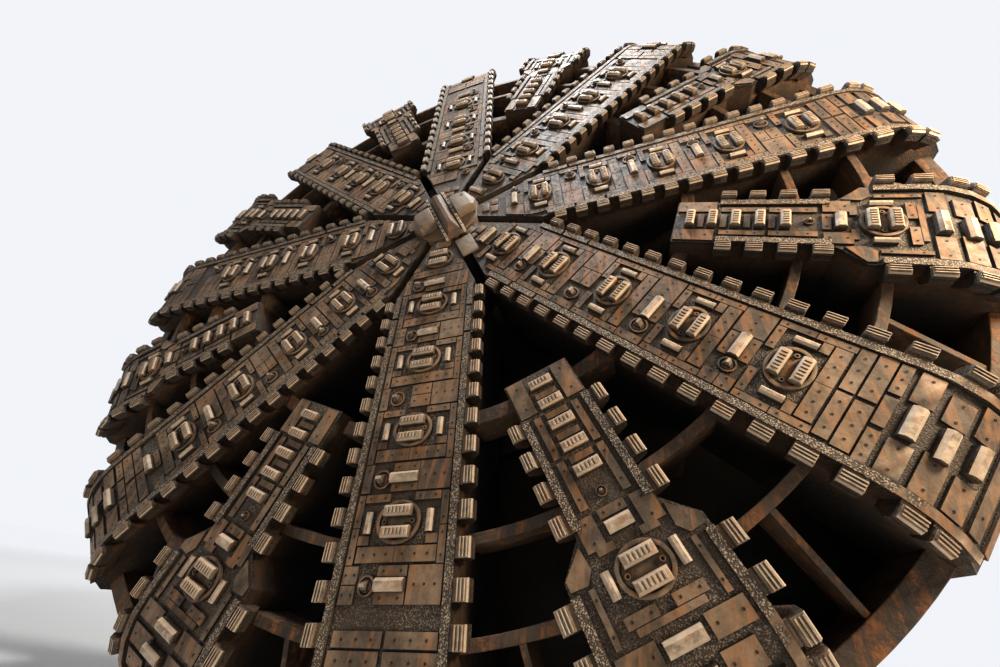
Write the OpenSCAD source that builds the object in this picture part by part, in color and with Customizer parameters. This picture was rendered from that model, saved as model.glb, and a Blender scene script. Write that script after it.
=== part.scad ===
// Soft-ground tunnel boring machine: the turning cutterhead with its spokes, rings and cutting
// tools, on the main drive in the front shield. The machine axis is Y and the head faces -Y.
// The origin is the centre of the bolt circle on the front shield's rear flange.

/* [Cutterhead] */
// Diameter over the gauge of the cutterhead
gauge_d = 17460; // [16800:10:17900]
// Depth of the spokes from their front plates to their rear faces
head_depth = 1570; // [1300:10:1800]
// How far inside the gauge the flat face starts to curve back
shoulder_run = 1110; // [1000:10:1180]
// Radius of the curved shoulder in side view
shoulder_r = 1250; // [1200:10:1400]
// Angle of the first main spoke, from +X towards +Z
head_turn = -81.5; // [-90:0.5:0]
// Number of main spokes, with as many short ones between
spoke_count = 8; // [8:1:8]
// Height of the wear plates over the front plates
plate_h = 32; // [15:1:45]

/* [Main spokes] */
// Width of a main spoke
main_w = 1524; // [1400:4:1600]
// Across flats of the hub
hub_af = 1440; // [1360:10:1560]
// How far the hub stands over the front plates
hub_rise = 40; // [20:5:80]
// Slot between the wedge-shaped inner ends
slot_w = 210; // [150:10:240]
// Width of the hardfaced edge bars
bar_w = 100; // [70:5:120]
// Height of the edge bars over the front plates
bar_h = 52; // [36:2:70]
// Radius at which the edge bars start
bar_start_r = 3880; // [3000:20:4400]
// Length of the short edge bars further in
short_bar_l = 520; // [300:10:560]
// Gap between the wear plates and the edge bars
bar_gap = 24; // [10:2:40]

/* [Hub tools] */
// Length of the fishtail bit across the hub
fish_l = 1680; // [1500:20:1800]
// Width of the fishtail bit over its rails
fish_w = 460; // [400:10:500]
// Height of the fishtail's ridge over the hub
fish_h = 250; // [200:10:300]
// Width of a rail along the fishtail
rail_w = 56; // [40:2:70]
// Height of the rails over the hub
rail_h = 130; // [100:5:160]
// Number of blocks on a rail
rail_blocks = 10; // [8:1:12]
// Length of a hub wedge along the fishtail
wedge_l = 600; // [500:10:680]
// Height of the hub wedges
wedge_h = 230; // [180:10:260]
// Gap between the hub wedges and the fishtail
wedge_gap = 15; // [5:5:30]

/* [Edge teeth] */
// Length of an edge tooth along the spoke
tooth_l = 212; // [160:4:240]
// How far an edge tooth stands out from the spoke's side
tooth_w = 196; // [120:4:220]
// Height of an edge tooth, from its seat on the spoke's side to its tip
tooth_h = 300; // [180:5:340]
// How far a tooth's tip stands over the front plates
tooth_rise = 76; // [40:2:90]
// Distance between edge teeth
tooth_pitch = 394; // [360:2:420]
// Gap between the first edge teeth of two neighbouring spokes
tooth_gap = 30; // [20:5:120]

/* [Cassettes] */
// Length of an oval cassette across the spoke
oval_w = 600; // [520:5:640]
// Length of an oval cassette along the spoke
oval_l = 494; // [440:2:520]
// Wall of the oval rim
oval_rim = 46; // [30:2:60]
// Height of the oval rim over the front plates
oval_h = 62; // [40:2:80]
// Length of a cutting bit
bit_l = 372; // [320:4:420]
// Width of a cutting bit
bit_w = 132; // [80:2:140]
// Height of a cutting bit over the front plates
bit_h = 118; // [90:2:140]
// Distance between the two bits of a cassette
bit_gap = 236; // [200:2:250]
// Distance between cassettes along a main spoke
oval_pitch = 1183; // [1150:1:1190]
// Radius of the innermost cassette
oval_start_r = 1216; // [1200:1:1260]
// Width of the guard bars beside a cassette
guard_w = 96; // [70:2:110]
// Height of the guard bars over the front plates
guard_h = 84; // [60:2:100]

/* [Short spokes] */
// Radius at which the short spokes start
short_r = 4620; // [4560:10:4680]
// Width of a short spoke inside its flare
short_w = 960; // [900:10:1000]
// Width of a short spoke outside its flare
short_wide_w = 1570; // [1450:10:1600]
// How far inside the gauge the flare starts
flare_in = 2040; // [1980:10:2130]
// Length of the flare
flare_l = 300; // [250:5:320]
// Number of ladder bits on a short spoke
ladder_count = 5; // [3:1:5]
// Length of a ladder bit
ladder_l = 330; // [280:5:360]
// Distance between ladder bits
ladder_pitch = 315; // [300:1:320]
// Distance of the first ladder bit from the spoke's inner end
ladder_start = 222; // [200:1:240]

/* [Rings] */
// How far the inner ring's middle lies outside the short spokes' inner ends
inner_ring_out = 185; // [170:5:230]
// Width of the inner ring
inner_ring_w = 210; // [160:5:240]
// Middle radius of the middle ring
middle_ring_r = 6343; // [6300:1:6400]
// Width of the middle ring
middle_ring_w = 130; // [100:5:160]
// Gap at the seats of rings, ribs, legs, ladder bits, motors and locks
seat_gap = 0.3; // [0.1:0.1:0.5]
// How far inside the gauge the outer ring's middle lies
outer_ring_in = 1417; // [1380:1:1440]
// Width of the outer ring
outer_ring_w = 120; // [90:5:150]
// How far the rings lie behind the front plates
ring_back = 230; // [230:5:300]
// Depth of the rings
ring_depth = 620; // [400:10:900]
// Width of the rim ring
rim_w = 230; // [180:5:260]
// How far the rim ring lies inside the gauge
rim_inset = 90; // [60:5:120]
// How far the rim ring's front lies behind the front plates
rim_back = 690; // [600:10:800]
// Thickness of the ribs between outer ring and rim ring
rib_t = 80; // [50:5:120]

/* [Front shield] */
// Length of the shield skin
shield_l = 3400; // [3100:20:3800]
// How much smaller than the gauge the shield's diameter is
overcut = 60; // [40:5:100]
// Thickness of the shield skin
skin_t = 80; // [60:5:120]
// Gap between the cutterhead and the shield
head_gap = 60; // [40:5:100]
// Depth of the stiffening ring behind the skin's front edge
stiffener_w = 120; // [80:5:160]
// Distance from the rear flange to the bulkhead's front face
bulkhead_y = 2250; // [2000:10:2400]
// Thickness of the bulkhead
bulkhead_t = 120; // [80:5:160]
// Depth of the gussets behind the bulkhead
gusset_l = 490; // [300:10:600]
// Thickness of the gussets
gusset_t = 60; // [40:5:80]
// Depth of the rear flange inside the skin
flange_w = 420; // [350:10:500]
// Thickness of the rear flange
flange_t = 90; // [60:5:120]
// Number of bolts in the rear flange
flange_bolts = 72; // [48:8:96]
// Radius of the holes in the rear flange
flange_hole_r = 26; // [18:1:32]

/* [Main drive] */
// Outer diameter of the drive flange on the rotor
rotor_d = 8400; // [8000:20:8600]
// Width of the drive flange
rotor_w = 900; // [800:10:1000]
// Thickness of the drive flange
rotor_t = 300; // [200:10:350]
// Length of the support legs between spokes and drive flange
leg_l = 510; // [400:10:600]
// Width of a support leg
leg_w = 760; // [600:10:900]
// How far a leg spreads along the spoke, past the drive flange
leg_spread = 500; // [300:10:520]
// Running gap between rotor and housing
seal_gap = 30; // [15:1:40]
// Fit of the main bearing between rotor and housing
bearing_fit = 0.3; // [0.1:0.1:1]
// Length of the main bearing's land
bearing_l = 160; // [100:10:200]
// Depth of the rotor's tongue inside the housing
tongue_l = 450; // [350:10:500]
// How far the housing reaches past the rotor, outside and inside
housing_lip = 330; // [250:10:380]
// Distance from the rear flange to the housing's rear face
housing_rear_y = 1300; // [1200:10:1500]
// Number of drive motors
motor_count = 16; // [12:1:18]
// Diameter of a drive motor
motor_d = 560; // [440:10:640]
// Length of a drive motor behind its gearbox
motor_l = 700; // [500:10:800]
// Length of a motor's gearbox
gearbox_l = 380; // [300:10:450]
// How much wider than the motor its gearbox is
gearbox_step = 140; // [80:10:200]
// Diameter of the rotary union's shaft through the centre plate
shaft_d = 600; // [500:10:700]
// Length of the rotary union's mounting tube behind the centre plate
union_l = 1030; // [900:10:1150]
// Length of the rotary union's rear body
union_rear_l = 600; // [500:10:700]
// Thickness of the rear body's closed end
union_end_t = 280; // [200:10:300]
// Wall of the rotary union's rear body
union_wall = 120; // [100:5:160]

/* [Ports] */
// Radius of the screw conveyor port
screw_r = 850; // [750:10:950]
// Wall of the screw conveyor port
screw_t = 60; // [40:5:80]
// Length of the screw conveyor port behind the bulkhead
screw_l = 2000; // [1700:10:2200]
// Tilt of the screw conveyor port
screw_tilt = 22; // [15:1:25]
// Distance from the port's middle to the skin, at the bulkhead
screw_in = 2120; // [2000:1:2200]
// Width of the port's flange
screw_flange_w = 160; // [120:5:200]
// Diameter of a man lock
lock_d = 1600; // [1400:10:1800]
// Length of a man lock
lock_l = 1900; // [1600:10:2000]
// Distance from a man lock's middle to the skin
lock_in = 2120; // [1900:10:2300]
// Length of the mixing bars
mixer_l = 800; // [500:10:900]
// Distance from a mixing bar's middle to the skin
mixer_in = 2520; // [2300:10:2800]
// Radius of a mixing bar at its root
mixer_r = 140; // [90:5:180]

/* [Hidden] */

spoke_step = 360 / spoke_count;
gauge_r = gauge_d / 2;
face_flat_r = gauge_r - shoulder_run;
head_rear_y = shield_l + head_gap;
face_y = head_rear_y + head_depth;
hub_r = hub_af / 2;
wedge = tan(spoke_step / 2);
slot_side = slot_w / 2 / cos(spoke_step / 2);
wedge_end_r = (main_w / 2 + slot_side) / wedge;
tooth_start_r = (main_w / 2 + tooth_w + tooth_gap / 2 / cos(spoke_step / 2)) / wedge + tooth_l / 2;
inner_ring_r = short_r + inner_ring_out;
outer_ring_r = gauge_r - outer_ring_in;
flare_r = gauge_r - flare_in;
flare_end_r = flare_r + flare_l;
flare_oval_r = flare_end_r + 190;
rim_r = gauge_r - rim_inset;
rim_inner_r = rim_r - rim_w;
skin_r = gauge_r - overcut / 2;
skin_inner_r = skin_r - skin_t;
bolt_circle_r = skin_inner_r - flange_w / 2;

rotor_r = rotor_d / 2;
rotor_in_r = rotor_r - rotor_w;
rotor_front_y = head_rear_y - leg_l;
rotor_rear_y = rotor_front_y - rotor_t;
tongue_out_r = rotor_r - rotor_w / 4;
tongue_in_r = rotor_r - rotor_w * 3 / 4;
housing_r = rotor_r + housing_lip;
housing_in_r = rotor_in_r - housing_lip;
union_front_y = bulkhead_y - bulkhead_t;
union_rear_y = union_front_y - union_l - union_rear_l;
shaft_end_y = union_rear_y + union_end_t + seal_gap;

// For each main spoke: its track, as steps of one eighth of the cassettes' pitch outside the
// innermost cassette, the kind of row it starts with, and the side, 1 or -1, of its first plates
SPOKE_TABLE = [
    [1, 0, 1], [5, 1, 1], [6, 2, -1], [2, 1, -1], [7, 0, 1], [4, 2, 1], [0, 1, 1], [3, 0, -1]];
function cassette_r(k, i) = oval_start_r + oval_pitch * (i + SPOKE_TABLE[k][0] / spoke_count);
cassette_end_r = face_flat_r - 700;
cassette_rows = ceil(cassette_end_r / oval_pitch);

// Wear plates round a cassette: along the spoke from its middle, out from the spoke's middle
// line, length along, width across
BAY_PLATES = [
    [-144, 588, 380, 92], [250, 588, 384, 92], [-144, -588, 380, 92], [250, -588, 384, 92],
    [-288, 352, 96, 350], [-288, -352, 96, 350], [190, 454, 100, 150], [190, -454, 100, 150],
    [342, 262, 164, 534], [342, -262, 164, 500]];
// Plates in the row between two cassettes, one list for each kind of row
ROW_PLATES = [
    [[638, 413, 366, 440], [638, -568, 366, 130], [514, -6, 116, 380], [770, -6, 102, 380]],
    [[638, 424, 366, 416], [544, -536, 178, 190], [734, -536, 178, 190], [508, 10, 106, 370],
        [764, 10, 114, 370]],
    [[638, 424, 366, 416], [538, 40, 166, 320], [728, 40, 186, 320], [638, -568, 366, 130]]];
// Single bits in that row: along, out, length across the spoke
ROW_BITS = [
    [[654, -6, 400]],
    [[640, 10, 360]],
    []];
// Round wells with a conical nub: along, out, radius
ROW_WELLS = [
    [[660, -345, 128]],
    [[650, -300, 108]],
    [[654, -345, 120]]];
// Plates of the outer zone, from the last cassette to the shoulder: along from the end of the
// flat face, out, length, width
OUTER_PLATES = [
    [-405, 340, 140, 600], [-405, -300, 140, 600],
    [-230, 345, 160, 610], [-230, -318, 160, 610],
    [-72, 440, 110, 400], [-72, -450, 110, 400], [-72, 0, 110, 380]];
// Plates on the curved shoulder: which flat of the curve, out, share of the flat's length, width
SHOULDER_PLATES = [
    [0, 440, 0.72, 400], [0, -450, 0.72, 400], [1, 360, 0.8, 330], [1, -420, 0.8, 450],
    [2, 430, 0.8, 380], [2, -430, 0.8, 380], [3, 0, 0.6, 1200], [4, 0, 0.5, 1200]];
// Single bits on the shoulder: which flat of the curve, out, length across the spoke
SHOULDER_BITS = [[0, -10, 380], [1, -60, 360], [2, 0, 340]];
// Plates of a short spoke: along from its inner end, out, length, width
SHORT_PLATES = [
    [302, 335, 560, 236], [302, -335, 560, 236],
    [946, 266, 590, 96], [946, -266, 590, 96],
    [1576, 262, 580, 100], [1576, -262, 580, 100]];
// Plates round the flare: along from the end of the flare, out, length, width
FLARE_PLATES = [
    [385, 560, 490, 62], [385, -560, 490, 62],
    [-280, 340, 320, 236], [-280, -330, 320, 216], [-400, 0, 104, 320],
    [-100, 250, 80, 200], [-100, -250, 80, 200],
    [500, 250, 100, 330], [500, -250, 100, 330], [588, 0, 60, 700]];

STEEL = "#8a7258";
BIT = "#a9a19a";
DARK = "#4f463d";
SHIELD = "#7d8286";
DRIVE = "#5f6a70";

// Places its children in the face's own frame: x and y in the face plane, z towards the ground
module face_frame() translate([0, -face_y, 0]) rotate([90, 0, 0]) children();

// The same frame with x along a spoke; half steps give the short spokes
module spoke_frame(k) face_frame() rotate([0, 0, head_turn + spoke_step * k]) children();

// Places its children with z along the machine axis towards the rear, from a distance y ahead
// of the rear flange
module axis_frame(y) translate([0, -y, 0]) rotate([-90, 0, 0]) children();

// A ring or tube about the machine axis
module tube(y_front, y_rear, r_out, r_in) {
    axis_frame(y_front) difference() {
        cylinder(h = y_front - y_rear, r = r_out, $fn = 128);
        translate([0, 0, -1]) cylinder(h = y_front - y_rear + 2, r = r_in, $fn = 128);
    }
}

shoulder_end = acos(shoulder_run / shoulder_r);
shoulder_steps = 5;
bar_steps = 4;
shoulder_turn = (90 - shoulder_end) / shoulder_steps;
shoulder_l = 2 * shoulder_r * sin(shoulder_turn / 2);

// Points of the shoulder's flats, moved out by a distance
function shoulder_line(out, steps) = [for (i = [0 : steps]) let (a = 90 - shoulder_turn * i)
    [face_flat_r + (shoulder_r + out) * cos(a), -shoulder_r + (shoulder_r + out) * sin(a)]];

// Plan outline of a spoke's outer end on the gauge, from one side to the other
function gauge_arc(half_w) = [for (i = [-2 : 2]) let (a = asin(half_w / gauge_r) * i / 2)
    [gauge_r * cos(a), gauge_r * sin(a)]];

// Side outline of a spoke from radius r_in to the gauge: flat face, curved shoulder, flat rear
function spoke_side(r_in) = concat(
    [[r_in, -head_depth], [r_in, 0]],
    shoulder_line(0, shoulder_steps),
    [[gauge_r + bar_w, -shoulder_r * (1 - sin(shoulder_end)) - bar_w * tan(90 - shoulder_end)],
        [gauge_r + bar_w, -head_depth]]);

// Places its children on flat i of the curved shoulder, x along the flat, z out of it
module shoulder_flat(i) {
    a = 90 - shoulder_turn * (i + 0.5);
    r = shoulder_r * cos(shoulder_turn / 2);
    translate([face_flat_r + r * cos(a), 0, -shoulder_r + r * sin(a)])
        rotate([0, 90 - a, 0]) children();
}

// A wear plate seated on the front plates, its middle at x, y
module plate(x, y, l, w) {
    translate([x - l / 2, y - w / 2, -plate_h]) cube([l, w, 2 * plate_h]);
}

// A block with a sloped tip, l across the spoke and w along it
module bit_block(l, w, h) {
    translate([0, l / 2, 0]) rotate([90, 0, 0]) linear_extrude(l)
        polygon([[-w / 2, 0], [w / 2, 0], [w / 2, h * 0.7], [w / 4, h], [-w / 4, h],
            [-w / 2, h * 0.7]]);
}

// A single bit welded to the front plates, its middle at x, y
module welded_bit(x, y, l) {
    translate([x, y, -1]) bit_block(l, bit_w, bit_h * 0.9);
}

// A guard bar beside a cassette, l along the spoke
module guard(x, y, l) {
    translate([x - l / 2, y, 0]) rotate([90, 0, 90]) linear_extrude(l)
        polygon([[-guard_w / 2, -1], [guard_w / 2, -1], [guard_w / 2, guard_h * 0.7],
            [guard_w / 5, guard_h], [-guard_w / 5, guard_h], [-guard_w / 2, guard_h * 0.7]]);
}

// A round well with a conical nub standing in it
module well(r) {
    difference() {
        cylinder(h = plate_h * 1.3, r = r, $fn = 12);
        translate([0, 0, plate_h * 0.3]) cylinder(h = plate_h * 2, r = r * 0.8, $fn = 12);
    }
    cylinder(h = plate_h, r = r * 0.62, $fn = 12);
    translate([0, 0, plate_h - 1]) rotate([90, 0, 0]) translate([0, 0, -r * 0.3])
        linear_extrude(r * 0.6) polygon([[-r * 0.5, 0], [r * 0.5, 0], [r * 0.14, r * 0.9],
            [-r * 0.14, r * 0.9]]);
}

// One scraper tooth on a spoke's side, its seat at y = 0 and its edge pointing out and up
module edge_tooth() {
    translate([-tooth_l / 2, 0, tooth_rise]) rotate([90, 0, 90]) linear_extrude(tooth_l)
        polygon([[-1, -tooth_h], [tooth_w * 0.4, -tooth_h], [tooth_w, -tooth_h * 0.5],
            [tooth_w, -tooth_h * 0.06], [tooth_w * 0.9, 0], [tooth_w * 0.3, 0],
            [tooth_w * 0.2, -tooth_h * 0.14], [-1, -tooth_h * 0.14]]);
}

module edge_bar(r0, r1, y_out) {
    translate([r0, y_out - bar_w, -bar_h]) cube([r1 - r0, bar_w, 2 * bar_h]);
}

// Edge bar from radius r0 over the flat face and on round the shoulder
module long_bar(r0, y_out) {
    inner = shoulder_line(-bar_h, bar_steps);
    translate([0, y_out, 0]) rotate([90, 0, 0]) linear_extrude(bar_w)
        polygon(concat([[r0, -bar_h], [r0, bar_h]], shoulder_line(bar_h, bar_steps),
            [for (i = [bar_steps : -1 : 0]) inner[i]]));
}

module oval(l, w, h) {
    linear_extrude(h) polygon([for (i = [0 : 15])
        [l / 2 * cos(i * 22.5 + 11.25), w / 2 * sin(i * 22.5 + 11.25)]]);
}

// Oval cassette with two bits across it
module cassette(size = 1) {
    difference() {
        oval(oval_l * size, oval_w * size, oval_h);
        translate([0, 0, oval_h * 0.4])
            oval(oval_l * size - 2 * oval_rim, oval_w * size - 2 * oval_rim, oval_h);
    }
    for (side = [-1, 1]) translate([side * bit_gap / 2 * size, 0, oval_h * 0.3])
        bit_block(bit_l * size, bit_w, bit_h - oval_h * 0.3);
}

// Half width that plates and bits may reach at radius r of a main spoke
function field_half(r) = min(main_w / 2 - bar_w - bar_gap,
    r * wedge - slot_side - bar_gap);
function fits(p, r_end) = abs(p[1]) + p[3] / 2 <= field_half(p[0] - p[2] / 2) + 0.01
    && p[0] + p[2] / 2 < r_end && p[0] - p[2] / 2 > hub_r + bar_gap;
// Whether a plate can be trimmed to the field with most of it left
function trims(p, r_end) = abs(p[1]) < field_half(p[0] - p[2] / 4) - bar_gap
    && p[0] + p[2] / 2 < r_end && p[0] - p[2] / 2 > hub_r + bar_gap;
function placed(table, r, side) = [for (p = table) [r + p[0], side * p[1], p[2], p[3]]];

// Radii of the ladder bits that fit inside the flare's cassette
ladder_end_r = flare_oval_r - oval_l / 2 - bit_w;
ladder_radii = [for (i = [0 : ladder_count - 1]) let (r = short_r + ladder_start + ladder_pitch * i)
    if (r < ladder_end_r) r];

module main_girder() {
    intersection() {
        translate([0, main_w / 2, 0]) rotate([90, 0, 0]) linear_extrude(main_w)
            polygon(spoke_side(hub_r));
        translate([0, 0, -head_depth - 1]) linear_extrude(head_depth + 2)
            polygon(concat(gauge_arc(main_w / 2), [[wedge_end_r, main_w / 2],
                [hub_r, hub_r * wedge - slot_side], [hub_r, -hub_r * wedge + slot_side],
                [wedge_end_r, -main_w / 2]]));
    }
}

plates_end_r = face_flat_r - 485;

// Plan outline of the field that a main spoke's plates are trimmed to
module field_plan() {
    half = main_w / 2 - bar_w - bar_gap;
    corner_r = (half + slot_side + bar_gap) / wedge;
    polygon([[hub_r, field_half(hub_r)], [corner_r, half], [plates_end_r, half],
        [plates_end_r, -half], [corner_r, -half], [hub_r, -field_half(hub_r)]]);
}

// The wear plates of one main spoke, trimmed to its field
module main_plates(k) {
    side = SPOKE_TABLE[k][2];
    intersection() {
        for (i = [-1 : cassette_rows]) {
            r = cassette_r(k, i);
            kind = (SPOKE_TABLE[k][1] + i + 3) % 3;
            bay = i >= 0 && r < cassette_end_r ? BAY_PLATES : [];
            for (p = placed(concat(bay, ROW_PLATES[kind]), r, side))
                if (trims(p, plates_end_r)) plate(p[0], p[1], p[2], p[3]);
        }
        translate([0, 0, -2 * plate_h]) linear_extrude(4 * plate_h) field_plan();
    }
}

// The guards, single bits and wells of one main spoke
module main_bays(k) {
    side = SPOKE_TABLE[k][2];
    for (i = [-1 : cassette_rows]) {
        r = cassette_r(k, i);
        kind = (SPOKE_TABLE[k][1] + i + 3) % 3;
        if (i >= 0 && r < cassette_end_r) for (s = [-1, 1])
            if (field_half(r - 125) > 415 + guard_w / 2) guard(r, s * 415, 245);
        for (b = ROW_BITS[kind])
            if (fits([r + b[0], side * b[1], bit_w, b[2]], plates_end_r))
                welded_bit(r + b[0], side * b[1], b[2]);
        for (w = ROW_WELLS[kind])
            if (fits([r + w[0], side * w[1], 2 * w[2], 2 * w[2]], plates_end_r))
                translate([r + w[0], side * w[1], 0]) well(w[2]);
    }
}

module main_spoke(k) {
    side = SPOKE_TABLE[k][2];
    color(STEEL) spoke_frame(k) {
        main_girder();
        main_plates(k);
        main_bays(k);
        for (p = placed(OUTER_PLATES, face_flat_r, side)) plate(p[0], p[1], p[2], p[3]);
        for (p = SHOULDER_PLATES) shoulder_flat(p[0])
            plate(0, side * p[1], p[2] * shoulder_l, p[3]);
        for (b = SHOULDER_BITS) shoulder_flat(b[0]) welded_bit(0, side * b[1], b[2]);
        for (m = [0, 1]) mirror([0, m, 0]) {
            long_bar(bar_start_r, main_w / 2);
            for (r = [wedge_end_r + bar_w : short_bar_l + 2 * bar_gap : bar_start_r - short_bar_l])
                edge_bar(r, r + short_bar_l, main_w / 2);
            for (r = [tooth_start_r : tooth_pitch : face_flat_r])
                translate([r, main_w / 2, 0]) edge_tooth();
            for (i = [1 : 2]) shoulder_flat(i) translate([0, main_w / 2, 0]) edge_tooth();
        }
    }
}

module twin_cutters(k) {
    color(BIT) spoke_frame(k) for (i = [0 : cassette_rows])
        if (cassette_r(k, i) < cassette_end_r) translate([cassette_r(k, i), 0, 0]) cassette();
}

// Plan outline of a short spoke, straight, then flared, then wide, each side moved out by gap
function short_plan(r_in, gap = 0) = let (a = short_w / 2 + gap, b = short_wide_w / 2 + gap)
    concat(gauge_arc(b), [[flare_end_r - gap / 2, b], [flare_r - gap / 2, a], [r_in, a],
        [r_in, -a], [flare_r - gap / 2, -a], [flare_end_r - gap / 2, -b]]);

module short_spoke(k) {
    color(STEEL) spoke_frame(k + 0.5) {
        intersection() {
            translate([0, short_wide_w / 2, 0]) rotate([90, 0, 0]) linear_extrude(short_wide_w)
                polygon(spoke_side(short_r));
            translate([0, 0, -head_depth - 1]) linear_extrude(head_depth + 2)
                polygon(short_plan(short_r));
        }
        for (p = placed(SHORT_PLATES, short_r, 1)) plate(p[0], p[1], p[2], p[3]);
        for (i = [1 : len(ladder_radii) - 1])
            plate(ladder_radii[i] - ladder_pitch / 2, 0, 84, ladder_l - 30);
        for (p = placed(FLARE_PLATES, flare_end_r, 1)) plate(p[0], p[1], p[2], p[3]);
        for (p = SHOULDER_PLATES) shoulder_flat(p[0]) plate(0, p[1], p[2] * shoulder_l, p[3]);
        for (b = SHOULDER_BITS) shoulder_flat(b[0]) welded_bit(0, b[1], b[2]);
        welded_bit(flare_r + 50, 0, 290);
        translate([flare_r - 300, 0, 0]) well(64);
        for (s = [-1, 1]) guard(flare_oval_r, s * 375, 245);
        for (m = [0, 1]) mirror([0, m, 0]) {
            edge_bar(short_r + 620, flare_r - 60, short_w / 2);
            long_bar(flare_end_r + 140, short_wide_w / 2);
            translate([0, 0, -plate_h]) linear_extrude(2 * plate_h)
                polygon([[flare_r + 76, short_w / 2 + 20], [flare_end_r - 8, short_wide_w / 2 - 24],
                    [flare_end_r + 92, short_wide_w / 2 - 32], [flare_end_r + 106, short_w / 2 + 88],
                    [flare_end_r, short_w / 2 - 4]]);
            for (r = [short_r + 725 : tooth_pitch : flare_r - tooth_l / 2])
                translate([r, short_w / 2, 0]) edge_tooth();
            for (r = [flare_end_r + 265 : tooth_pitch : face_flat_r + tooth_l / 2])
                translate([r, short_wide_w / 2, 0]) edge_tooth();
            for (i = [1 : 2]) shoulder_flat(i) translate([0, short_wide_w / 2, 0]) edge_tooth();
        }
    }
}

module ladder_bits() {
    color(BIT) for (k = [0 : spoke_count - 1]) spoke_frame(k + 0.5) translate([0, 0, seat_gap]) {
        for (r = ladder_radii) translate([r, 0, 0]) bit_block(ladder_l, bit_w, bit_h);
        translate([flare_oval_r, 0, 0]) cassette();
    }
}

module hub() {
    color(DARK) {
        face_frame() rotate([0, 0, head_turn + spoke_step / 2])
            translate([0, 0, -head_depth]) cylinder(h = head_depth + hub_rise,
                r = hub_r / cos(spoke_step / 2), $fn = 8);
        axis_frame(head_rear_y + hub_rise) cylinder(h = head_rear_y + hub_rise - shaft_end_y,
            r = shaft_d / 2, $fn = 48);
    }
}

// Fishtail bit across the hub: a ridge between two rails with blocks, and a wedge on each side
module centre_bit() {
    body_w = fish_w - 2 * rail_w;
    pitch = fish_l / rail_blocks;
    color(BIT) face_frame() translate([0, 0, hub_rise]) rotate([0, 0, head_turn + spoke_step / 2]) {
        intersection() {
            translate([-fish_l / 2, 0, 0]) rotate([90, 0, 90]) linear_extrude(fish_l)
                polygon([[-body_w / 2 - 1, 0], [body_w / 2 + 1, 0], [body_w / 2 + 1, rail_h / 2],
                    [body_w / 8, fish_h], [-body_w / 8, fish_h], [-body_w / 2 - 1, rail_h / 2]]);
            translate([0, fish_w / 2, 0]) rotate([90, 0, 0]) linear_extrude(fish_w)
                polygon([[-fish_l / 2, 0], [fish_l / 2, 0], [fish_l / 2, fish_h * 0.3],
                    [fish_l * 0.36, fish_h], [-fish_l * 0.36, fish_h], [-fish_l / 2, fish_h * 0.3]]);
        }
        for (m = [0, 1]) mirror([0, m, 0]) {
            translate([-fish_l / 2, body_w / 2, 0]) cube([fish_l, rail_w, rail_h * 0.6]);
            for (i = [0 : rail_blocks - 1])
                translate([-fish_l / 2 + (i + 0.25) * pitch, body_w / 2, 0])
                    cube([pitch / 2, rail_w, rail_h]);
            hub_wedge();
        }
    }
}

// One wedge beside the fishtail, its outer edges along two flats of the hub
module hub_wedge() {
    y_in = fish_w / 2 + wedge_gap;
    y_out = hub_r / cos(spoke_step / 2) - 20;
    intersection() {
        translate([-wedge_l / 2, 0, 0]) rotate([90, 0, 90]) linear_extrude(wedge_l)
            polygon([[y_in, 0], [y_out, 0], [y_out, wedge_h * 0.35], [y_out - 150, wedge_h * 0.85],
                [y_in + 140, wedge_h], [y_in, wedge_h]]);
        translate([0, 0, -1]) linear_extrude(wedge_h + 2)
            polygon([[-wedge_l / 2, y_in], [-wedge_l / 2, y_out - wedge_l / 2 * wedge], [0, y_out],
                [wedge_l / 2, y_out - wedge_l / 2 * wedge], [wedge_l / 2, y_in]]);
    }
}

// Sixteen arc segments of one ring, between the spokes' sides
module ring_segments(r_mid, w, z_front, depth) {
    face_frame() difference() {
        translate([0, 0, z_front - depth]) difference() {
            cylinder(h = depth, r = r_mid + w / 2, $fn = 192);
            translate([0, 0, -1]) cylinder(h = depth + 2, r = r_mid - w / 2, $fn = 192);
        }
        for (k = [0 : spoke_count - 1]) {
            rotate([0, 0, head_turn + spoke_step * k])
                translate([0, -main_w / 2 - seat_gap, -head_depth - 1])
                    cube([gauge_r, main_w + 2 * seat_gap, head_depth + 2]);
            rotate([0, 0, head_turn + spoke_step * (k + 0.5)])
                translate([0, 0, -head_depth - 1]) linear_extrude(head_depth + 2)
                    polygon(short_plan(0, seat_gap));
        }
    }
}

module inner_ring() {
    color(STEEL) ring_segments(inner_ring_r, inner_ring_w, -ring_back, ring_depth);
}

module middle_ring() {
    color(STEEL) ring_segments(middle_ring_r, middle_ring_w, -ring_back, ring_depth);
}

module outer_ring() {
    color(STEEL) ring_segments(outer_ring_r, outer_ring_w, -ring_back, ring_depth);
}

module rim_ring() {
    color(STEEL) ring_segments(rim_r - rim_w / 2, rim_w, -rim_back, head_depth - rim_back);
}

module ring_ribs() {
    rib_in = outer_ring_r + outer_ring_w / 2 + seat_gap;
    rib_out = sqrt(pow(rim_inner_r, 2) - pow(rib_t / 2, 2)) - 2 * seat_gap;
    color(STEEL) for (k = [0 : 2 * spoke_count - 1]) spoke_frame(k / 2 + 0.25)
        translate([0, rib_t / 2, 0]) rotate([90, 0, 0]) linear_extrude(rib_t)
            polygon([[rib_in, -ring_back - 40], [rib_out, -rim_back - 40],
                [rib_out, -rim_back - 400], [rib_in, -ring_back - ring_depth + 40]]);
}

module support_legs() {
    color(STEEL) for (k = [0 : spoke_count - 1]) spoke_frame(k)
        translate([0, leg_w / 2, 0]) rotate([90, 0, 0]) linear_extrude(leg_w)
            polygon([[rotor_in_r - leg_spread, -head_depth], [rotor_r + leg_spread, -head_depth],
                [rotor_r - 40, -head_depth - leg_l + seat_gap],
                [rotor_in_r + 40, -head_depth - leg_l + seat_gap]]);
}

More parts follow.
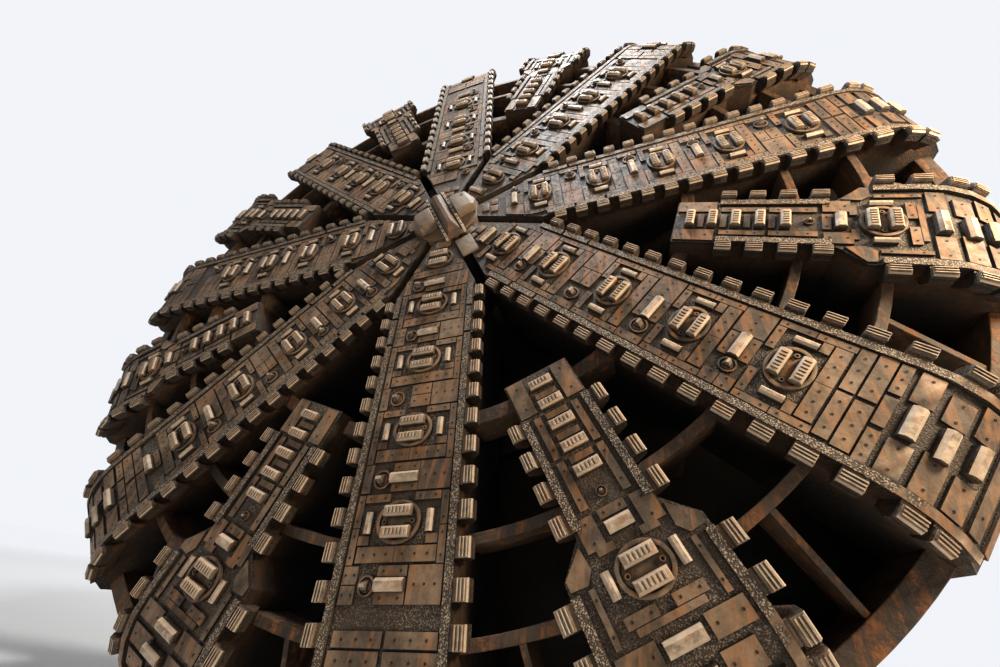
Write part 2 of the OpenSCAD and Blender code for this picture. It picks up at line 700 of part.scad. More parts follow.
module drive_flange() {
    color(DARK) {
        tube(rotor_front_y, rotor_rear_y, rotor_r, rotor_in_r);
        tube(rotor_rear_y + 1, rotor_rear_y - tongue_l, tongue_out_r, tongue_in_r);
    }
}

module drive_housing() {
    groove_end_y = rotor_rear_y - tongue_l - seal_gap;
    color(DRIVE) difference() {
        union() {
            tube(rotor_rear_y - seal_gap, housing_rear_y, housing_r, housing_in_r);
            tube(bulkhead_y, bulkhead_y - bulkhead_t, housing_in_r + 50, shaft_d / 2 + seal_gap);
        }
        tube(rotor_rear_y, groove_end_y + bearing_l, tongue_out_r + seal_gap,
            tongue_in_r - seal_gap);
        tube(rotor_rear_y, groove_end_y, tongue_out_r + bearing_fit, tongue_in_r - seal_gap);
    }
}

module shield_skin() {
    color(SHIELD) difference() {
        union() {
            tube(shield_l, 0, skin_r, skin_inner_r);
            tube(flange_t, 0, skin_inner_r + 10, skin_inner_r - flange_w);
            tube(shield_l - skin_t, shield_l - 2 * skin_t, skin_inner_r + 10,
                skin_inner_r - stiffener_w);
        }
        for (i = [0 : flange_bolts - 1])
            rotate([0, i * 360 / flange_bolts, 0]) translate([bolt_circle_r, 1, 0])
                rotate([90, 0, 0]) cylinder(h = flange_t + 2, r = flange_hole_r, $fn = 24);
    }
}

module screw_frame() {
    translate([0, -bulkhead_y, -skin_inner_r + screw_in]) rotate([screw_tilt, 0, 0])
        rotate([-90, 0, 0]) children();
}

gusset_count = 16;

module bulkhead() {
    color(SHIELD) difference() {
        union() {
            tube(bulkhead_y, bulkhead_y - bulkhead_t, skin_inner_r, housing_r);
            for (k = [0 : gusset_count - 1]) rotate([0, (k + 0.5) * 360 / gusset_count, 0])
                translate([housing_r + 60, -bulkhead_y + bulkhead_t - 10, -gusset_t / 2])
                    cube([skin_inner_r - housing_r - 140, gusset_l + 10, gusset_t]);
        }
        screw_frame() translate([0, 0, -2 * screw_r]) cylinder(h = 4 * screw_r, r = screw_r, $fn = 48);
    }
}

module screw_port() {
    flange_l = 100;
    reach = 3 * screw_r;
    color(DRIVE) difference() {
        screw_frame() difference() {
            union() {
                translate([0, 0, -screw_r]) cylinder(h = screw_r + screw_l, r = screw_r, $fn = 48);
                translate([0, 0, screw_l - flange_l])
                    cylinder(h = flange_l, r = screw_r + screw_flange_w, $fn = 48);
            }
            translate([0, 0, -screw_r - 1])
                cylinder(h = screw_r + screw_l + 2, r = screw_r - screw_t, $fn = 48);
            for (i = [0 : 23]) rotate([0, 0, i * 15])
                translate([screw_r + screw_flange_w / 2 + 10, 0, screw_l - flange_l - 1])
                    cylinder(h = flange_l + 2, r = 20, $fn = 24);
        }
        translate([-reach / 2, -bulkhead_y - reach, -skin_inner_r + screw_in - reach / 2])
            cube([reach, reach, reach]);
    }
}

module drive_motors() {
    color(DRIVE) for (i = [0 : motor_count - 1]) rotate([0, i * 360 / motor_count, 0])
        translate([rotor_r - rotor_w / 2, -housing_rear_y + seat_gap, 0]) rotate([-90, 0, 0]) {
            cylinder(h = gearbox_l, r = (motor_d + gearbox_step) / 2, $fn = 32);
            cylinder(h = gearbox_l + motor_l, r = motor_d / 2, $fn = 32);
        }
}

module rotary_union() {
    end_y = union_rear_y + union_end_t;
    body_r = shaft_d / 2 + union_wall;
    color(DARK) {
        tube(union_front_y, union_front_y - union_l, body_r + 100, shaft_d / 2 + seal_gap);
        tube(union_front_y - union_l, end_y, body_r, shaft_d / 2 + seal_gap);
        axis_frame(end_y) cylinder(h = union_end_t, r = body_r, $fn = 128);
    }
}

module man_locks() {
    door_t = 90;
    color(SHIELD) for (side = [-1, 1]) rotate([0, side * spoke_step / 2, 0])
        translate([0, -bulkhead_y + bulkhead_t + seat_gap, skin_inner_r - lock_in])
            rotate([-90, 0, 0]) {
            cylinder(h = lock_l, r = lock_d / 2, $fn = 96);
            cylinder(h = door_t, r = lock_d / 2 + door_t, $fn = 96);
            translate([0, 0, lock_l - door_t]) cylinder(h = door_t, r = lock_d / 2 + door_t, $fn = 96);
        }
}

module mixing_bars() {
    color(STEEL) for (i = [0 : 3]) rotate([0, 45 + i * 90, 0])
        translate([skin_inner_r - mixer_in, -bulkhead_y, 0]) rotate([90, 0, 0])
            cylinder(h = mixer_l, r1 = mixer_r, r2 = mixer_r * 0.65, $fn = 32);
}

main_spoke(0);  // main_spoke_1
main_spoke(1);  // main_spoke_2
main_spoke(2);  // main_spoke_3
main_spoke(3);  // main_spoke_4
main_spoke(4);  // main_spoke_5
main_spoke(5);  // main_spoke_6
main_spoke(6);  // main_spoke_7
main_spoke(7);  // main_spoke_8
short_spoke(0);  // short_spoke_1
short_spoke(1);  // short_spoke_2
short_spoke(2);  // short_spoke_3
short_spoke(3);  // short_spoke_4
short_spoke(4);  // short_spoke_5
short_spoke(5);  // short_spoke_6
short_spoke(6);  // short_spoke_7
short_spoke(7);  // short_spoke_8
twin_cutters(0);  // twin_cutters_1
twin_cutters(1);  // twin_cutters_2
twin_cutters(2);  // twin_cutters_3
twin_cutters(3);  // twin_cutters_4
twin_cutters(4);  // twin_cutters_5
twin_cutters(5);  // twin_cutters_6
twin_cutters(6);  // twin_cutters_7
twin_cutters(7);  // twin_cutters_8
ladder_bits();
hub();
centre_bit();
inner_ring();
middle_ring();
outer_ring();
rim_ring();
ring_ribs();
support_legs();
drive_flange();
shield_skin();
bulkhead();
drive_housing();
drive_motors();
rotary_union();
man_locks();
screw_port();
mixing_bars();
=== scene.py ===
import math
import bmesh
import bpy
from mathutils import Matrix, Vector


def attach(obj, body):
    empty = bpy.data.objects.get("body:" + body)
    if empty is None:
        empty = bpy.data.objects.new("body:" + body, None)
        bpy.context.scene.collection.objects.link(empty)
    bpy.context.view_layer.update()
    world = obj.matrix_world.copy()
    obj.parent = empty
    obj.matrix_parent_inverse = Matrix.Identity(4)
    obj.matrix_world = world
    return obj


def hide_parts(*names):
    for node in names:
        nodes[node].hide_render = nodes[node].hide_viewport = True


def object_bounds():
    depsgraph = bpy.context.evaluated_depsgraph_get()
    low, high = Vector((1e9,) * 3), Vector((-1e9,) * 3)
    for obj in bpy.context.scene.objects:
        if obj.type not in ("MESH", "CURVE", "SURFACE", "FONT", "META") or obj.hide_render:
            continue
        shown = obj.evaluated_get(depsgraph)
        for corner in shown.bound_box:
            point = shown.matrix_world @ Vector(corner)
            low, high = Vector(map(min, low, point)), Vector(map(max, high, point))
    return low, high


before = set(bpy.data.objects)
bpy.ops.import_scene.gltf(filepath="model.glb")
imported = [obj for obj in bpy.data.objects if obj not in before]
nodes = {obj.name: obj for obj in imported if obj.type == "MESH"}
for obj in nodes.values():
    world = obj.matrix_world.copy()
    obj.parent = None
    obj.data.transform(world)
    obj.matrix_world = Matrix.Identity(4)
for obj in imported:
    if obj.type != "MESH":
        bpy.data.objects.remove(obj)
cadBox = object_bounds()
print("frame loaded:", len(nodes), "nodes")

# the head's main measures, as the model has them, in metres and degrees
head = {"faceY": 5.03, "flatR": 7.62, "shoulderR": 1.25, "shoulderRun": 1.11, "shoulderSteps": 5,
        "turn": -81.5, "spokes": 8, "mainHalf": 0.762, "slotSide": 0.1137, "hubR": 0.72, "hubRise": 0.04,
        "shortR": 4.62, "shortHalf": 0.48, "wideHalf": 0.785, "flareEndR": 6.99, "bayEnd": 0.485,
        "plateH": 0.032, "barW": 0.1, "barGap": 0.024}

spokeStep = 360 / head["spokes"]
shoulderTurn = (90 - math.degrees(math.acos(head["shoulderRun"] / head["shoulderR"]))) / head["shoulderSteps"]


def spokeFrame(step):
    # x along the spoke, y across it, z out of the face; half steps are the short spokes
    a = math.radians(head["turn"] + spokeStep * step)
    return Matrix(((math.cos(a), -math.sin(a), 0, 0), (0, 0, -1, -head["faceY"]),
                   (math.sin(a), math.cos(a), 0, 0), (0, 0, 0, 1)))


def shoulderFlat(i):
    # the middle of a flat of the curved shoulder, in the spoke's frame
    a = 90 - shoulderTurn * (i + 0.5)
    r = head["shoulderR"] * math.cos(math.radians(shoulderTurn / 2))
    x = head["flatR"] + r * math.cos(math.radians(a))
    z = -head["shoulderR"] + r * math.sin(math.radians(a))
    return Matrix.Translation((x, 0, z)) @ Matrix.Rotation(math.radians(90 - a), 4, "Y")


def at(x, y, z=0.0, turn=0.0):
    return Matrix.Translation((x, y, z)) @ Matrix.Rotation(math.radians(turn), 4, "Z")


def centred(count, pitch):
    return [(i - (count - 1) / 2) * pitch for i in range(count)]


# modelling helpers

def startFresh():
    if bpy.context.mode != "OBJECT":
        bpy.ops.object.mode_set(mode="OBJECT")
    bpy.ops.object.select_all(action="DESELECT")


def pick(*pieces):
    startFresh()
    for piece in pieces:
        piece.select_set(True)
    bpy.context.view_layer.objects.active = pieces[0]


def applyPlace():
    bpy.ops.object.transform_apply(location=True, rotation=True, scale=True)


def addBox(name, size, place=(0, 0, 0)):
    startFresh()
    bpy.ops.mesh.primitive_cube_add(size=1, location=place, scale=size)
    piece = bpy.context.object
    piece.name = name
    applyPlace()
    return piece


def addRound(name, radius, depth, place=(0, 0, 0), sides=24, squeeze=1.0):
    startFresh()
    bpy.ops.mesh.primitive_cylinder_add(vertices=sides, radius=radius, depth=depth, location=place)
    piece = bpy.context.object
    piece.name = name
    piece.scale = (squeeze, 1, 1)
    applyPlace()
    return piece


def addTorus(radius, tube, place, around=32, across=8, tilt=0.0):
    startFresh()
    bpy.ops.mesh.primitive_torus_add(major_radius=radius, minor_radius=tube, major_segments=around,
                                     minor_segments=across, location=place, rotation=(math.radians(tilt), 0, 0))
    applyPlace()
    return bpy.context.object


def selectTop(piece, upward=0.9):
    # opens the piece in edit mode with the faces that look up selected
    pick(piece)
    bpy.ops.object.mode_set(mode="EDIT")
    bpy.ops.mesh.select_mode(type="FACE")
    bpy.ops.mesh.select_all(action="DESELECT")
    mesh = bmesh.from_edit_mesh(piece.data)
    for face in mesh.faces:
        if face.normal.z > upward:
            face.select = True
    bmesh.update_edit_mesh(piece.data)


def doneEditing():
    bpy.ops.object.mode_set(mode="OBJECT")


def stepTop(piece, steps, crown=None):
    # insets the top and moves it out or in, once for each (inset, rise), then scales it to its crown
    selectTop(piece)
    for inset, rise in steps:
        if inset:
            bpy.ops.mesh.inset(thickness=inset)
        bpy.ops.mesh.extrude_region_move(TRANSFORM_OT_translate={"value": (0, 0, rise)})
    if crown:
        bpy.ops.transform.resize(value=crown)
    doneEditing()


def cutAway(piece, point, normal):
    # drops what lies on the side of the plane that the normal points to
    pick(piece)
    bpy.ops.object.mode_set(mode="EDIT")
    bpy.ops.mesh.select_all(action="SELECT")
    bpy.ops.mesh.bisect(plane_co=point, plane_no=normal, use_fill=True, clear_outer=True)
    doneEditing()


def addBevel(piece, width, segments=2, angle=35):
    edge = piece.modifiers.new("edges", "BEVEL")
    edge.width = width
    edge.segments = segments
    edge.limit_method = "ANGLE"
    edge.angle_limit = math.radians(angle)
    return edge


def bevelPiece(piece, *edge, **settings):
    pick(piece)
    bpy.ops.object.modifier_apply(modifier=addBevel(piece, *edge, **settings).name)
    return piece


def joinPieces(name, parts):
    pick(*parts)
    if len(parts) > 1:
        bpy.ops.object.join()
    piece = bpy.context.object
    piece.name = name
    piece.data.name = name
    return piece


def removePiece(piece):
    bpy.data.objects.remove(piece, do_unlink=True)


def placeCopies(name, master, places, keep=False):
    # one piece from copies of a master, each with its own mesh, at the given places
    copies = []
    for place in places:
        copy = master.copy()
        copy.data = master.data.copy()
        bpy.context.scene.collection.objects.link(copy)
        copy.matrix_world = place
        copies.append(copy)
    if not keep:
        removePiece(master)
    pick(*copies)
    applyPlace()
    return joinPieces(name, copies)


# shader helpers

def feed(tree, socket, value):
    # a socket gets another one's output, a number, a vector or a colour
    if isinstance(value, bpy.types.NodeSocket):
        tree.links.new(value, socket)
    elif socket.type == "RGBA":
        socket.default_value = (*value, 1)
    else:
        socket.default_value = value


def addNode(tree, kind, inputs=None, **settings):
    node = tree.nodes.new(kind)
    for key, value in settings.items():
        setattr(node, key, value)
    for key, value in (inputs or {}).items():
        feed(tree, node.inputs[key], value)
    return node


def newGroup(name, inputs, outputs):
    # inputs as {label: number or colour}, outputs as {label: kind}
    tree = bpy.data.node_groups.new(name, "ShaderNodeTree")
    for label, value in inputs.items():
        isColor = isinstance(value, tuple)
        socket = tree.interface.new_socket(label, in_out="INPUT",
                                           socket_type="NodeSocketColor" if isColor else "NodeSocketFloat")
        socket.default_value = (*value, 1) if isColor else value
    for label, kind in outputs.items():
        tree.interface.new_socket(label, in_out="OUTPUT", socket_type="NodeSocket" + kind)
    return tree, tree.nodes.new("NodeGroupInput").outputs


def putOut(tree, sockets):
    addNode(tree, "NodeGroupOutput", sockets)
    return tree


def useGroup(tree, group):
    return addNode(tree, "ShaderNodeGroup", node_tree=group).outputs


def calc(tree, operation, a, b=0.0):
    return addNode(tree, "ShaderNodeMath", {0: a, 1: b}, operation=operation).outputs[0]


def product(tree, *factors):
    result = factors[0]
    for factor in factors[1:]:
        result = calc(tree, "MULTIPLY", result, factor)
    return result


def total(tree, a, b):
    return calc(tree, "ADD", a, b)


def hypotenuse(tree, a, b):
    return calc(tree, "SQRT", total(tree, product(tree, a, a), product(tree, b, b)))


def ramp(tree, value, low, high, toLow=0.0, toHigh=1.0):
    # the value taken from low..high to toLow..toHigh, smoothly and clamped
    return addNode(tree, "ShaderNodeMapRange", {"Value": value, "From Min": low, "From Max": high, "To Min": toLow,
                   "To Max": toHigh}, interpolation_type="SMOOTHSTEP").outputs["Result"]


def band(tree, value, rise, fall):
    # one between the rise and the fall, nought outside them
    return product(tree, ramp(tree, value, *rise), ramp(tree, value, *fall))


def mixColor(tree, factor, a, b, blend="MIX"):
    return addNode(tree, "ShaderNodeMix", {0: factor, 6: a, 7: b}, data_type="RGBA", blend_type=blend).outputs[2]


def mixShare(tree, mask, share, a, b):
    # b laid over a where the mask is, up to a share
    return mixColor(tree, product(tree, mask, share), a, b)


def noise(tree, coords, scale, detail, rough):
    return addNode(tree, "ShaderNodeTexNoise", {"Vector": coords, "Scale": scale, "Detail": detail,
                   "Roughness": rough}).outputs["Fac"]


def objectPlace(tree):
    return addNode(tree, "ShaderNodeTexCoord").outputs["Object"]


def splitVector(tree, vector):
    return addNode(tree, "ShaderNodeSeparateXYZ", {0: vector}).outputs


def buildFaceHeight():
    # how far a point stands over the head's front, on the flat face and on the curved shoulder, and
    # how squarely its surface faces out from there
    tree, _ = newGroup("faceHeight", {}, {"Height": "Float", "Facing": "Float"})
    coords = addNode(tree, "ShaderNodeTexCoord").outputs
    place, normal = splitVector(tree, coords["Object"]), splitVector(tree, coords["Normal"])
    radius = hypotenuse(tree, place["X"], place["Z"])
    past = calc(tree, "MAXIMUM", calc(tree, "SUBTRACT", radius, head["flatR"]), 0.0)
    # the depth is counted from the shoulder's centre and is negative ahead of it
    depth = total(tree, place["Y"], head["faceY"] - head["shoulderR"])
    reach = hypotenuse(tree, past, depth)
    ahead = product(tree, reach, calc(tree, "SIGN", depth), -1.0)
    outward = calc(tree, "DIVIDE", total(tree, product(tree, normal["X"], place["X"]),
                                         product(tree, normal["Z"], place["Z"])), radius)
    square = total(tree, product(tree, outward, past), product(tree, normal["Y"], depth))
    return putOut(tree, {"Height": calc(tree, "SUBTRACT", ahead, head["shoulderR"]),
                         "Facing": calc(tree, "DIVIDE", square, reach)})


crustLook = {"smoothness": 0.35, "ragged": (28.0, 3.0, 0.7), "mask": (0.22, 0.44)}


def buildWeldCrust():
    # speckled weld crust: light grains on a dark ground
    tree, inn = newGroup("weldCrust", {"Grain": 56.0}, {"Mask": "Float", "Height": "Float"})
    place = objectPlace(tree)
    grains = addNode(tree, "ShaderNodeTexVoronoi", {"Vector": place, "Scale": inn["Grain"],
                     "Smoothness": crustLook["smoothness"]}, feature="SMOOTH_F1")
    bead = calc(tree, "SUBTRACT", 1.0, grains.outputs["Distance"])
    lump = product(tree, bead, noise(tree, place, *crustLook["ragged"]))
    return putOut(tree, {"Mask": ramp(tree, lump, *crustLook["mask"]), "Height": lump})


mudLook = {"cloud": (5.0, 0.62), "cloudMask": (0.36, 0.66), "dirt": (6.0, 0.68), "dirtMask": (0.34, 0.68),
           "stretch": (7.0, 7.0, 0.7), "streak": (1.4, 4.0, 0.6), "streakMask": (0.42, 0.66)}


def buildDriedMud():
    # tone from dried mud: slow clouds, fine dirt and streaks that run down
    tree, inn = newGroup("driedMud", {"Cloud": 0.9, "Dirt": 9.0},
                         {"Cloud": "Float", "Dirt": "Float", "Streak": "Float"})
    place = objectPlace(tree)
    cloud = noise(tree, place, inn["Cloud"], *mudLook["cloud"])
    dirt = noise(tree, place, inn["Dirt"], *mudLook["dirt"])
    stretched = addNode(tree, "ShaderNodeMapping", {"Vector": place, "Scale": mudLook["stretch"]}).outputs[0]
    streak = noise(tree, stretched, *mudLook["streak"])
    return putOut(tree, {"Cloud": ramp(tree, cloud, *mudLook["cloudMask"]),
                         "Dirt": ramp(tree, dirt, *mudLook["dirtMask"]),
                         "Streak": ramp(tree, streak, *mudLook["streakMask"])})


faceHeight, weldCrust, driedMud = buildFaceHeight(), buildWeldCrust(), buildDriedMud()

# where the layers lie: heights over the face in metres, and how squarely a surface faces out
# the side, deep, black and crevice bands place painted shade, and the edge band places edge wear with a painted
# highlight
steelBands = {"plate": (0.006, 0.026), "joint": ((0.002, 0.007), (0.025, 0.018)),
              "bar": ((0.04, 0.048), (0.06, 0.053)), "deep": (-0.012, -0.1), "black": (-0.12, -0.75),
              "side": (0.25, 0.8, 0.3, 1.0), "edge": ((0.45, 0.7), (0.97, 0.86)),
              "creviceShade": (0.85, 0.42, 0.0, 0.92), "grains": (0.0, 1.0, 0.12, 0.6)}
# how far one layer covers another
steelShares = {"dirt": 0.45, "rustDirt": 0.5, "bar": 0.9, "rustTip": 0.7, "joint": 0.85, "edge": 0.55, "rustSide": 0.45}
steelTones = {"dark": (0.36, 0.35, 0.34), "light": (1.34, 1.25, 1.13)}
# how far the painted crevice shade looks for nearby surfaces
creviceShadeReach = 0.05
steelRough = {"plain": 0.56, "worn": 0.18, "deep": 0.3, "dirt": 0.22}
steelRelief = {"crust": 2.0, "dirt": 0.35}


def buildMudSteelAndShade():
    # the head's mud-stained steel, from the dark gaps between its plates to the worn tips, with painted shade on its
    # sides, in its crevices and below its face, and a painted highlight on its edges
    tree, inn = newGroup("mudSteelAndShade", {
        # the worn colour also serves the painted edge highlight, and the side and deep colours are painted shade
        "Plate": (0.142, 0.103, 0.071), "Worn And Highlight": (0.39, 0.305, 0.22), "Tip Low": 0.06, "Tip High": 0.08,
        "Gap": (0.012, 0.008, 0.005), "Side": (0.03, 0.019, 0.012), "Deep Shade": (0.005, 0.0035, 0.0025),
        "Ground": (0.034, 0.023, 0.015), "Rust": (0.36, 0.15, 0.05), "Speckle": (0.34, 0.27, 0.195),
        "Rust Amount": 0.42}, {"Color": "Color", "Roughness": "Float", "Height": "Float"})
    front, crust, mud = (useGroup(tree, group) for group in (faceHeight, weldCrust, driedMud))
    over, facing = front["Height"], front["Facing"]
    onPlate, inDeep = ramp(tree, over, *steelBands["plate"]), ramp(tree, over, *steelBands["deep"])
    onTip = ramp(tree, over, inn["Tip Low"], inn["Tip High"])
    inJoint, onBar = band(tree, over, *steelBands["joint"]), band(tree, over, *steelBands["bar"])
    rust = product(tree, mud["Streak"], inn["Rust Amount"],
                   total(tree, product(tree, mud["Dirt"], steelShares["rustDirt"]), steelShares["rustDirt"]))

    tone = mixColor(tree, mud["Cloud"], steelTones["dark"], steelTones["light"])
    plate = mixColor(tree, 1.0, inn["Plate"], tone, "MULTIPLY")
    plate = mixShare(tree, mud["Dirt"], steelShares["dirt"], plate, inn["Gap"])
    plate = mixColor(tree, rust, plate, inn["Rust"])
    # bare ground keeps few light grains, the edge bars are crusted all over
    grains = product(tree, crust["Mask"], ramp(tree, mud["Cloud"], *steelBands["grains"]))
    ground = mixColor(tree, grains, inn["Ground"], inn["Speckle"])
    crusted = mixColor(tree, crust["Mask"], inn["Ground"], inn["Speckle"])
    face = mixColor(tree, onPlate, ground, plate)
    face = mixShare(tree, onBar, steelShares["bar"], face, crusted)
    tips = mixColor(tree, mud["Dirt"], inn["Worn And Highlight"], inn["Plate"])
    face = mixColor(tree, onTip, face, mixShare(tree, rust, steelShares["rustTip"], tips, inn["Rust"]))
    face = mixShare(tree, inJoint, steelShares["joint"], face, inn["Gap"])
    # painted shade darkens the sides that do not face out from the front, the edges are worn light with a painted
    # highlight, and painted shade with some dirt darkens the crevices
    face = mixColor(tree, 1.0, face, ramp(tree, facing, *steelBands["side"]), "MULTIPLY")
    # edge wear and a painted highlight: the bevelled edges, which face partly out, turn toward the worn colour
    edgeWearAndHighlight = product(tree, band(tree, facing, *steelBands["edge"]), onPlate)
    face = mixShare(tree, edgeWearAndHighlight, steelShares["edge"], face, inn["Worn And Highlight"])
    # painted shade in the crevices, found by occlusion, with the dirt that gathers there
    occlusionShade = addNode(tree, "ShaderNodeAmbientOcclusion", {"Distance": creviceShadeReach}, samples=3, only_local=True)
    face = mixColor(tree, ramp(tree, occlusionShade.outputs["AO"], *steelBands["creviceShade"]), face, inn["Gap"])

    # below the face: painted shade, dark on the sides and near black further down, with real streaks and rust laid over
    # it
    side = mixColor(tree, mud["Streak"], inn["Side"], inn["Gap"])
    side = mixShare(tree, rust, steelShares["rustSide"], side, inn["Rust"])
    side = mixColor(tree, ramp(tree, over, *steelBands["black"]), side, inn["Deep Shade"])

    worn = product(tree, onTip, calc(tree, "SUBTRACT", 1.0, mud["Dirt"]))
    rough = calc(tree, "SUBTRACT", steelRough["plain"], product(tree, worn, steelRough["worn"]))
    rough = total(tree, rough, product(tree, inDeep, steelRough["deep"]))
    rough = total(tree, rough, product(tree, mud["Dirt"], steelRough["dirt"]))
    crusty = calc(tree, "MAXIMUM", calc(tree, "SUBTRACT", 1.0, onPlate), onBar)
    relief = total(tree, product(tree, crust["Height"], crusty, steelRelief["crust"]),
                   product(tree, mud["Dirt"], steelRelief["dirt"]))
    return putOut(tree, {"Color": mixColor(tree, inDeep, face, side), "Roughness": rough, "Height": relief})


# where the working chamber lies, and the near-black colour of its painted shade
chamber = {"frontY": (-2.2, -2.24), "radius": (8.64, 8.62), "chamberShade": (0.012, 0.009, 0.006)}
paintRough = {"plain": 0.48, "dusty": 0.35}


def buildWornPaintAndChamberShade():
    # old paint or primer with dust above and scuffs, and painted shade, near black, inside the working chamber
    tree, inn = newGroup("wornPaintAndChamberShade", {
        "Paint": (0.3, 0.31, 0.32), "Dust": (0.35, 0.27, 0.19), "Rust": (0.25, 0.1, 0.04), "Dust Amount": 0.5,
        "Rust Amount": 0.3, "Chamber Shade": 0.0}, {"Color": "Color", "Roughness": "Float", "Height": "Float"})
    mud = useGroup(tree, driedMud)
    dusty = product(tree, mud["Cloud"], inn["Dust Amount"])
    rusty = product(tree, mud["Streak"], mud["Dirt"], inn["Rust Amount"])
    color = mixColor(tree, dusty, inn["Paint"], inn["Dust"])
    color = mixColor(tree, rusty, color, inn["Rust"])
    place = splitVector(tree, objectPlace(tree))
    inChamber = product(tree, ramp(tree, place["Y"], *chamber["frontY"]),
                        ramp(tree, hypotenuse(tree, place["X"], place["Z"]), *chamber["radius"]))
    # painted shade: near black inside the working chamber, where no light reaches
    color = mixColor(tree, product(tree, inChamber, inn["Chamber Shade"]), color, chamber["chamberShade"])
    rough = total(tree, paintRough["plain"], product(tree, total(tree, dusty, rusty), paintRough["dusty"]))
    return putOut(tree, {"Color": color, "Roughness": rough, "Height": total(tree, mud["Dirt"], rusty)})


mudSteelAndShade, wornPaintAndChamberShade = buildMudSteelAndShade(), buildWornPaintAndChamberShade()
print("shader groups built")

plainSurface = {"metallic": 0.0, "gloss": 0.18, "bump": 0.5, "distance": 0.01}


def worn(paint, dust, rust, dustAmount=0.5, rustAmount=0.3, chamberShade=0.0, **changes):
    return wornPaintAndChamberShade, {"Paint": paint, "Dust": dust, "Rust": rust, "Dust Amount": dustAmount,
                       "Rust Amount": rustAmount, "Chamber Shade": chamberShade}, changes


# group, its values, then what differs from the plain surface; worn ones have the colours of paint, dust
# and rust, then the amounts of dust, rust and painted chamber shade
surfaces = {
    "girderSteel": (mudSteelAndShade, {}, {"bump": 0.7, "distance": 0.012}),
    "bitSteel": (mudSteelAndShade, {"Plate": (0.155, 0.115, 0.08), "Worn And Highlight": (0.37, 0.28, 0.195), "Tip Low": 0.066,
                 "Tip High": 0.085, "Rust Amount": 0.6}, {"distance": 0.008}),
    "ringSteel": worn((0.026, 0.018, 0.012), (0.085, 0.06, 0.04), (0.24, 0.09, 0.03), 0.75, 0.8,
                      metallic=0.1, bump=0.6),
    # dark colours, made darker as painted shade where the hub shows through the openings
    "hubSteel": worn((0.055, 0.037, 0.024), (0.17, 0.12, 0.078), (0.24, 0.1, 0.035), 0.75, 0.8, metallic=0.2),
    # near-black colours: painted shade on the legs and flange inside the unlit chamber
    "legSteel": worn((0.01, 0.007, 0.005), (0.03, 0.02, 0.013), (0.07, 0.03, 0.012), 0.6, 0.6),
    "shieldPaint": worn((0.24, 0.245, 0.25), (0.3, 0.245, 0.19), (0.25, 0.11, 0.05), 0.55, 0.45, 1.0, bump=0.35),
    "chamberPaint": worn((0.2, 0.205, 0.21), (0.26, 0.21, 0.165), (0.22, 0.1, 0.045), 0.6, 0.5, 1.0, bump=0.4),
    "drivePaint": worn((0.085, 0.125, 0.16), (0.2, 0.16, 0.12), (0.2, 0.09, 0.04), 0.4, 0.3, 1.0, bump=0.3),
    "plugSteel": worn((0.02, 0.014, 0.01), (0.06, 0.04, 0.026), (0.12, 0.05, 0.02), metallic=0.3, bump=0.3),
    "ridgeSteel": worn((0.055, 0.035, 0.024), (0.17, 0.118, 0.08), (0.28, 0.12, 0.045), 0.6, 0.6, bump=0.6),
    "railSteel": worn((0.42, 0.35, 0.27), (0.24, 0.18, 0.125), (0.3, 0.15, 0.07), 0.6, 0.4, bump=0.45),
    "castSteel": worn((0.16, 0.125, 0.09), (0.065, 0.045, 0.03), (0.3, 0.14, 0.06), 0.75, 0.7, bump=0.45),
    # near black: painted shade for the windows in the fishtail's rails
    "railWindowShade": worn((0.006, 0.0045, 0.003), (0.016, 0.011, 0.007), (0.03, 0.014, 0.006))}


def newMaterial(name, group, values, changes):
    surface = {**plainSurface, **changes}
    material = bpy.data.materials.new(name)
    material.use_nodes = True
    tree = material.node_tree
    look = addNode(tree, "ShaderNodeGroup", node_tree=group)
    for key, value in values.items():
        feed(tree, look.inputs[key], value)
    relief = addNode(tree, "ShaderNodeBump", {"Strength": surface["bump"], "Distance": surface["distance"],
                                              "Height": look.outputs["Height"]})
    shader = tree.nodes["Principled BSDF"]
    for key, value in (("Base Color", look.outputs["Color"]), ("Roughness", look.outputs["Roughness"]),
                       ("Metallic", surface["metallic"]), ("Specular IOR Level", surface["gloss"]),
                       ("Normal", relief.outputs["Normal"])):
        feed(tree, shader.inputs[key], value)
    return material


materials = {name: newMaterial(name, *surface) for name, surface in surfaces.items()}
print("materials built")

nodeKinds = {"girderSteel": ("main_spoke", "short_spoke"), "bitSteel": ("twin_cutters", "ladder_bits", "centre_bit"),
             "ringSteel": ("inner_ring", "middle_ring", "outer_ring", "rim_ring", "ring_ribs", "mixing_bars"),
             "hubSteel": ("hub",), "legSteel": ("support_legs", "drive_flange"),
             "shieldPaint": ("shield_skin", "man_locks"), "chamberPaint": ("bulkhead",),
             "drivePaint": ("drive_housing", "drive_motors", "rotary_union", "screw_port")}
nodeLooks = {kind: material for material, kinds in nodeKinds.items() for kind in kinds}
nodeEdges = {"main_spoke": 0.007, "short_spoke": 0.007, "hub": 0.012, "inner_ring": 0.01, "middle_ring": 0.01,
             "outer_ring": 0.01, "rim_ring": 0.012, "ring_ribs": 0.008, "support_legs": 0.02}
edgeCare = {"weld": 0.0001, "flat": 1}

for name, node in nodes.items():
    kind = name.rstrip("0123456789").rstrip("_")
    node.data.materials.clear()
    node.data.materials.append(materials[nodeLooks[kind]])
    if kind in nodeEdges:
        weld = node.modifiers.new("weld", "WELD")
        weld.merge_threshold = edgeCare["weld"]
        flats = node.modifiers.new("flats", "DECIMATE")
        flats.decimate_type = "DISSOLVE"
        flats.angle_limit = math.radians(edgeCare["flat"])
        addBevel(node, nodeEdges[kind])
print("nodes dressed")


def finishPiece(piece, material, body, smooth=35, replacing=()):
    pick(piece)
    bpy.ops.object.shade_smooth_by_angle(angle=math.radians(smooth))
    piece.data.materials.clear()
    piece.data.materials.append(materials[material])
    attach(piece, body)
    if replacing:
        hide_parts(*replacing)


# cutting tools

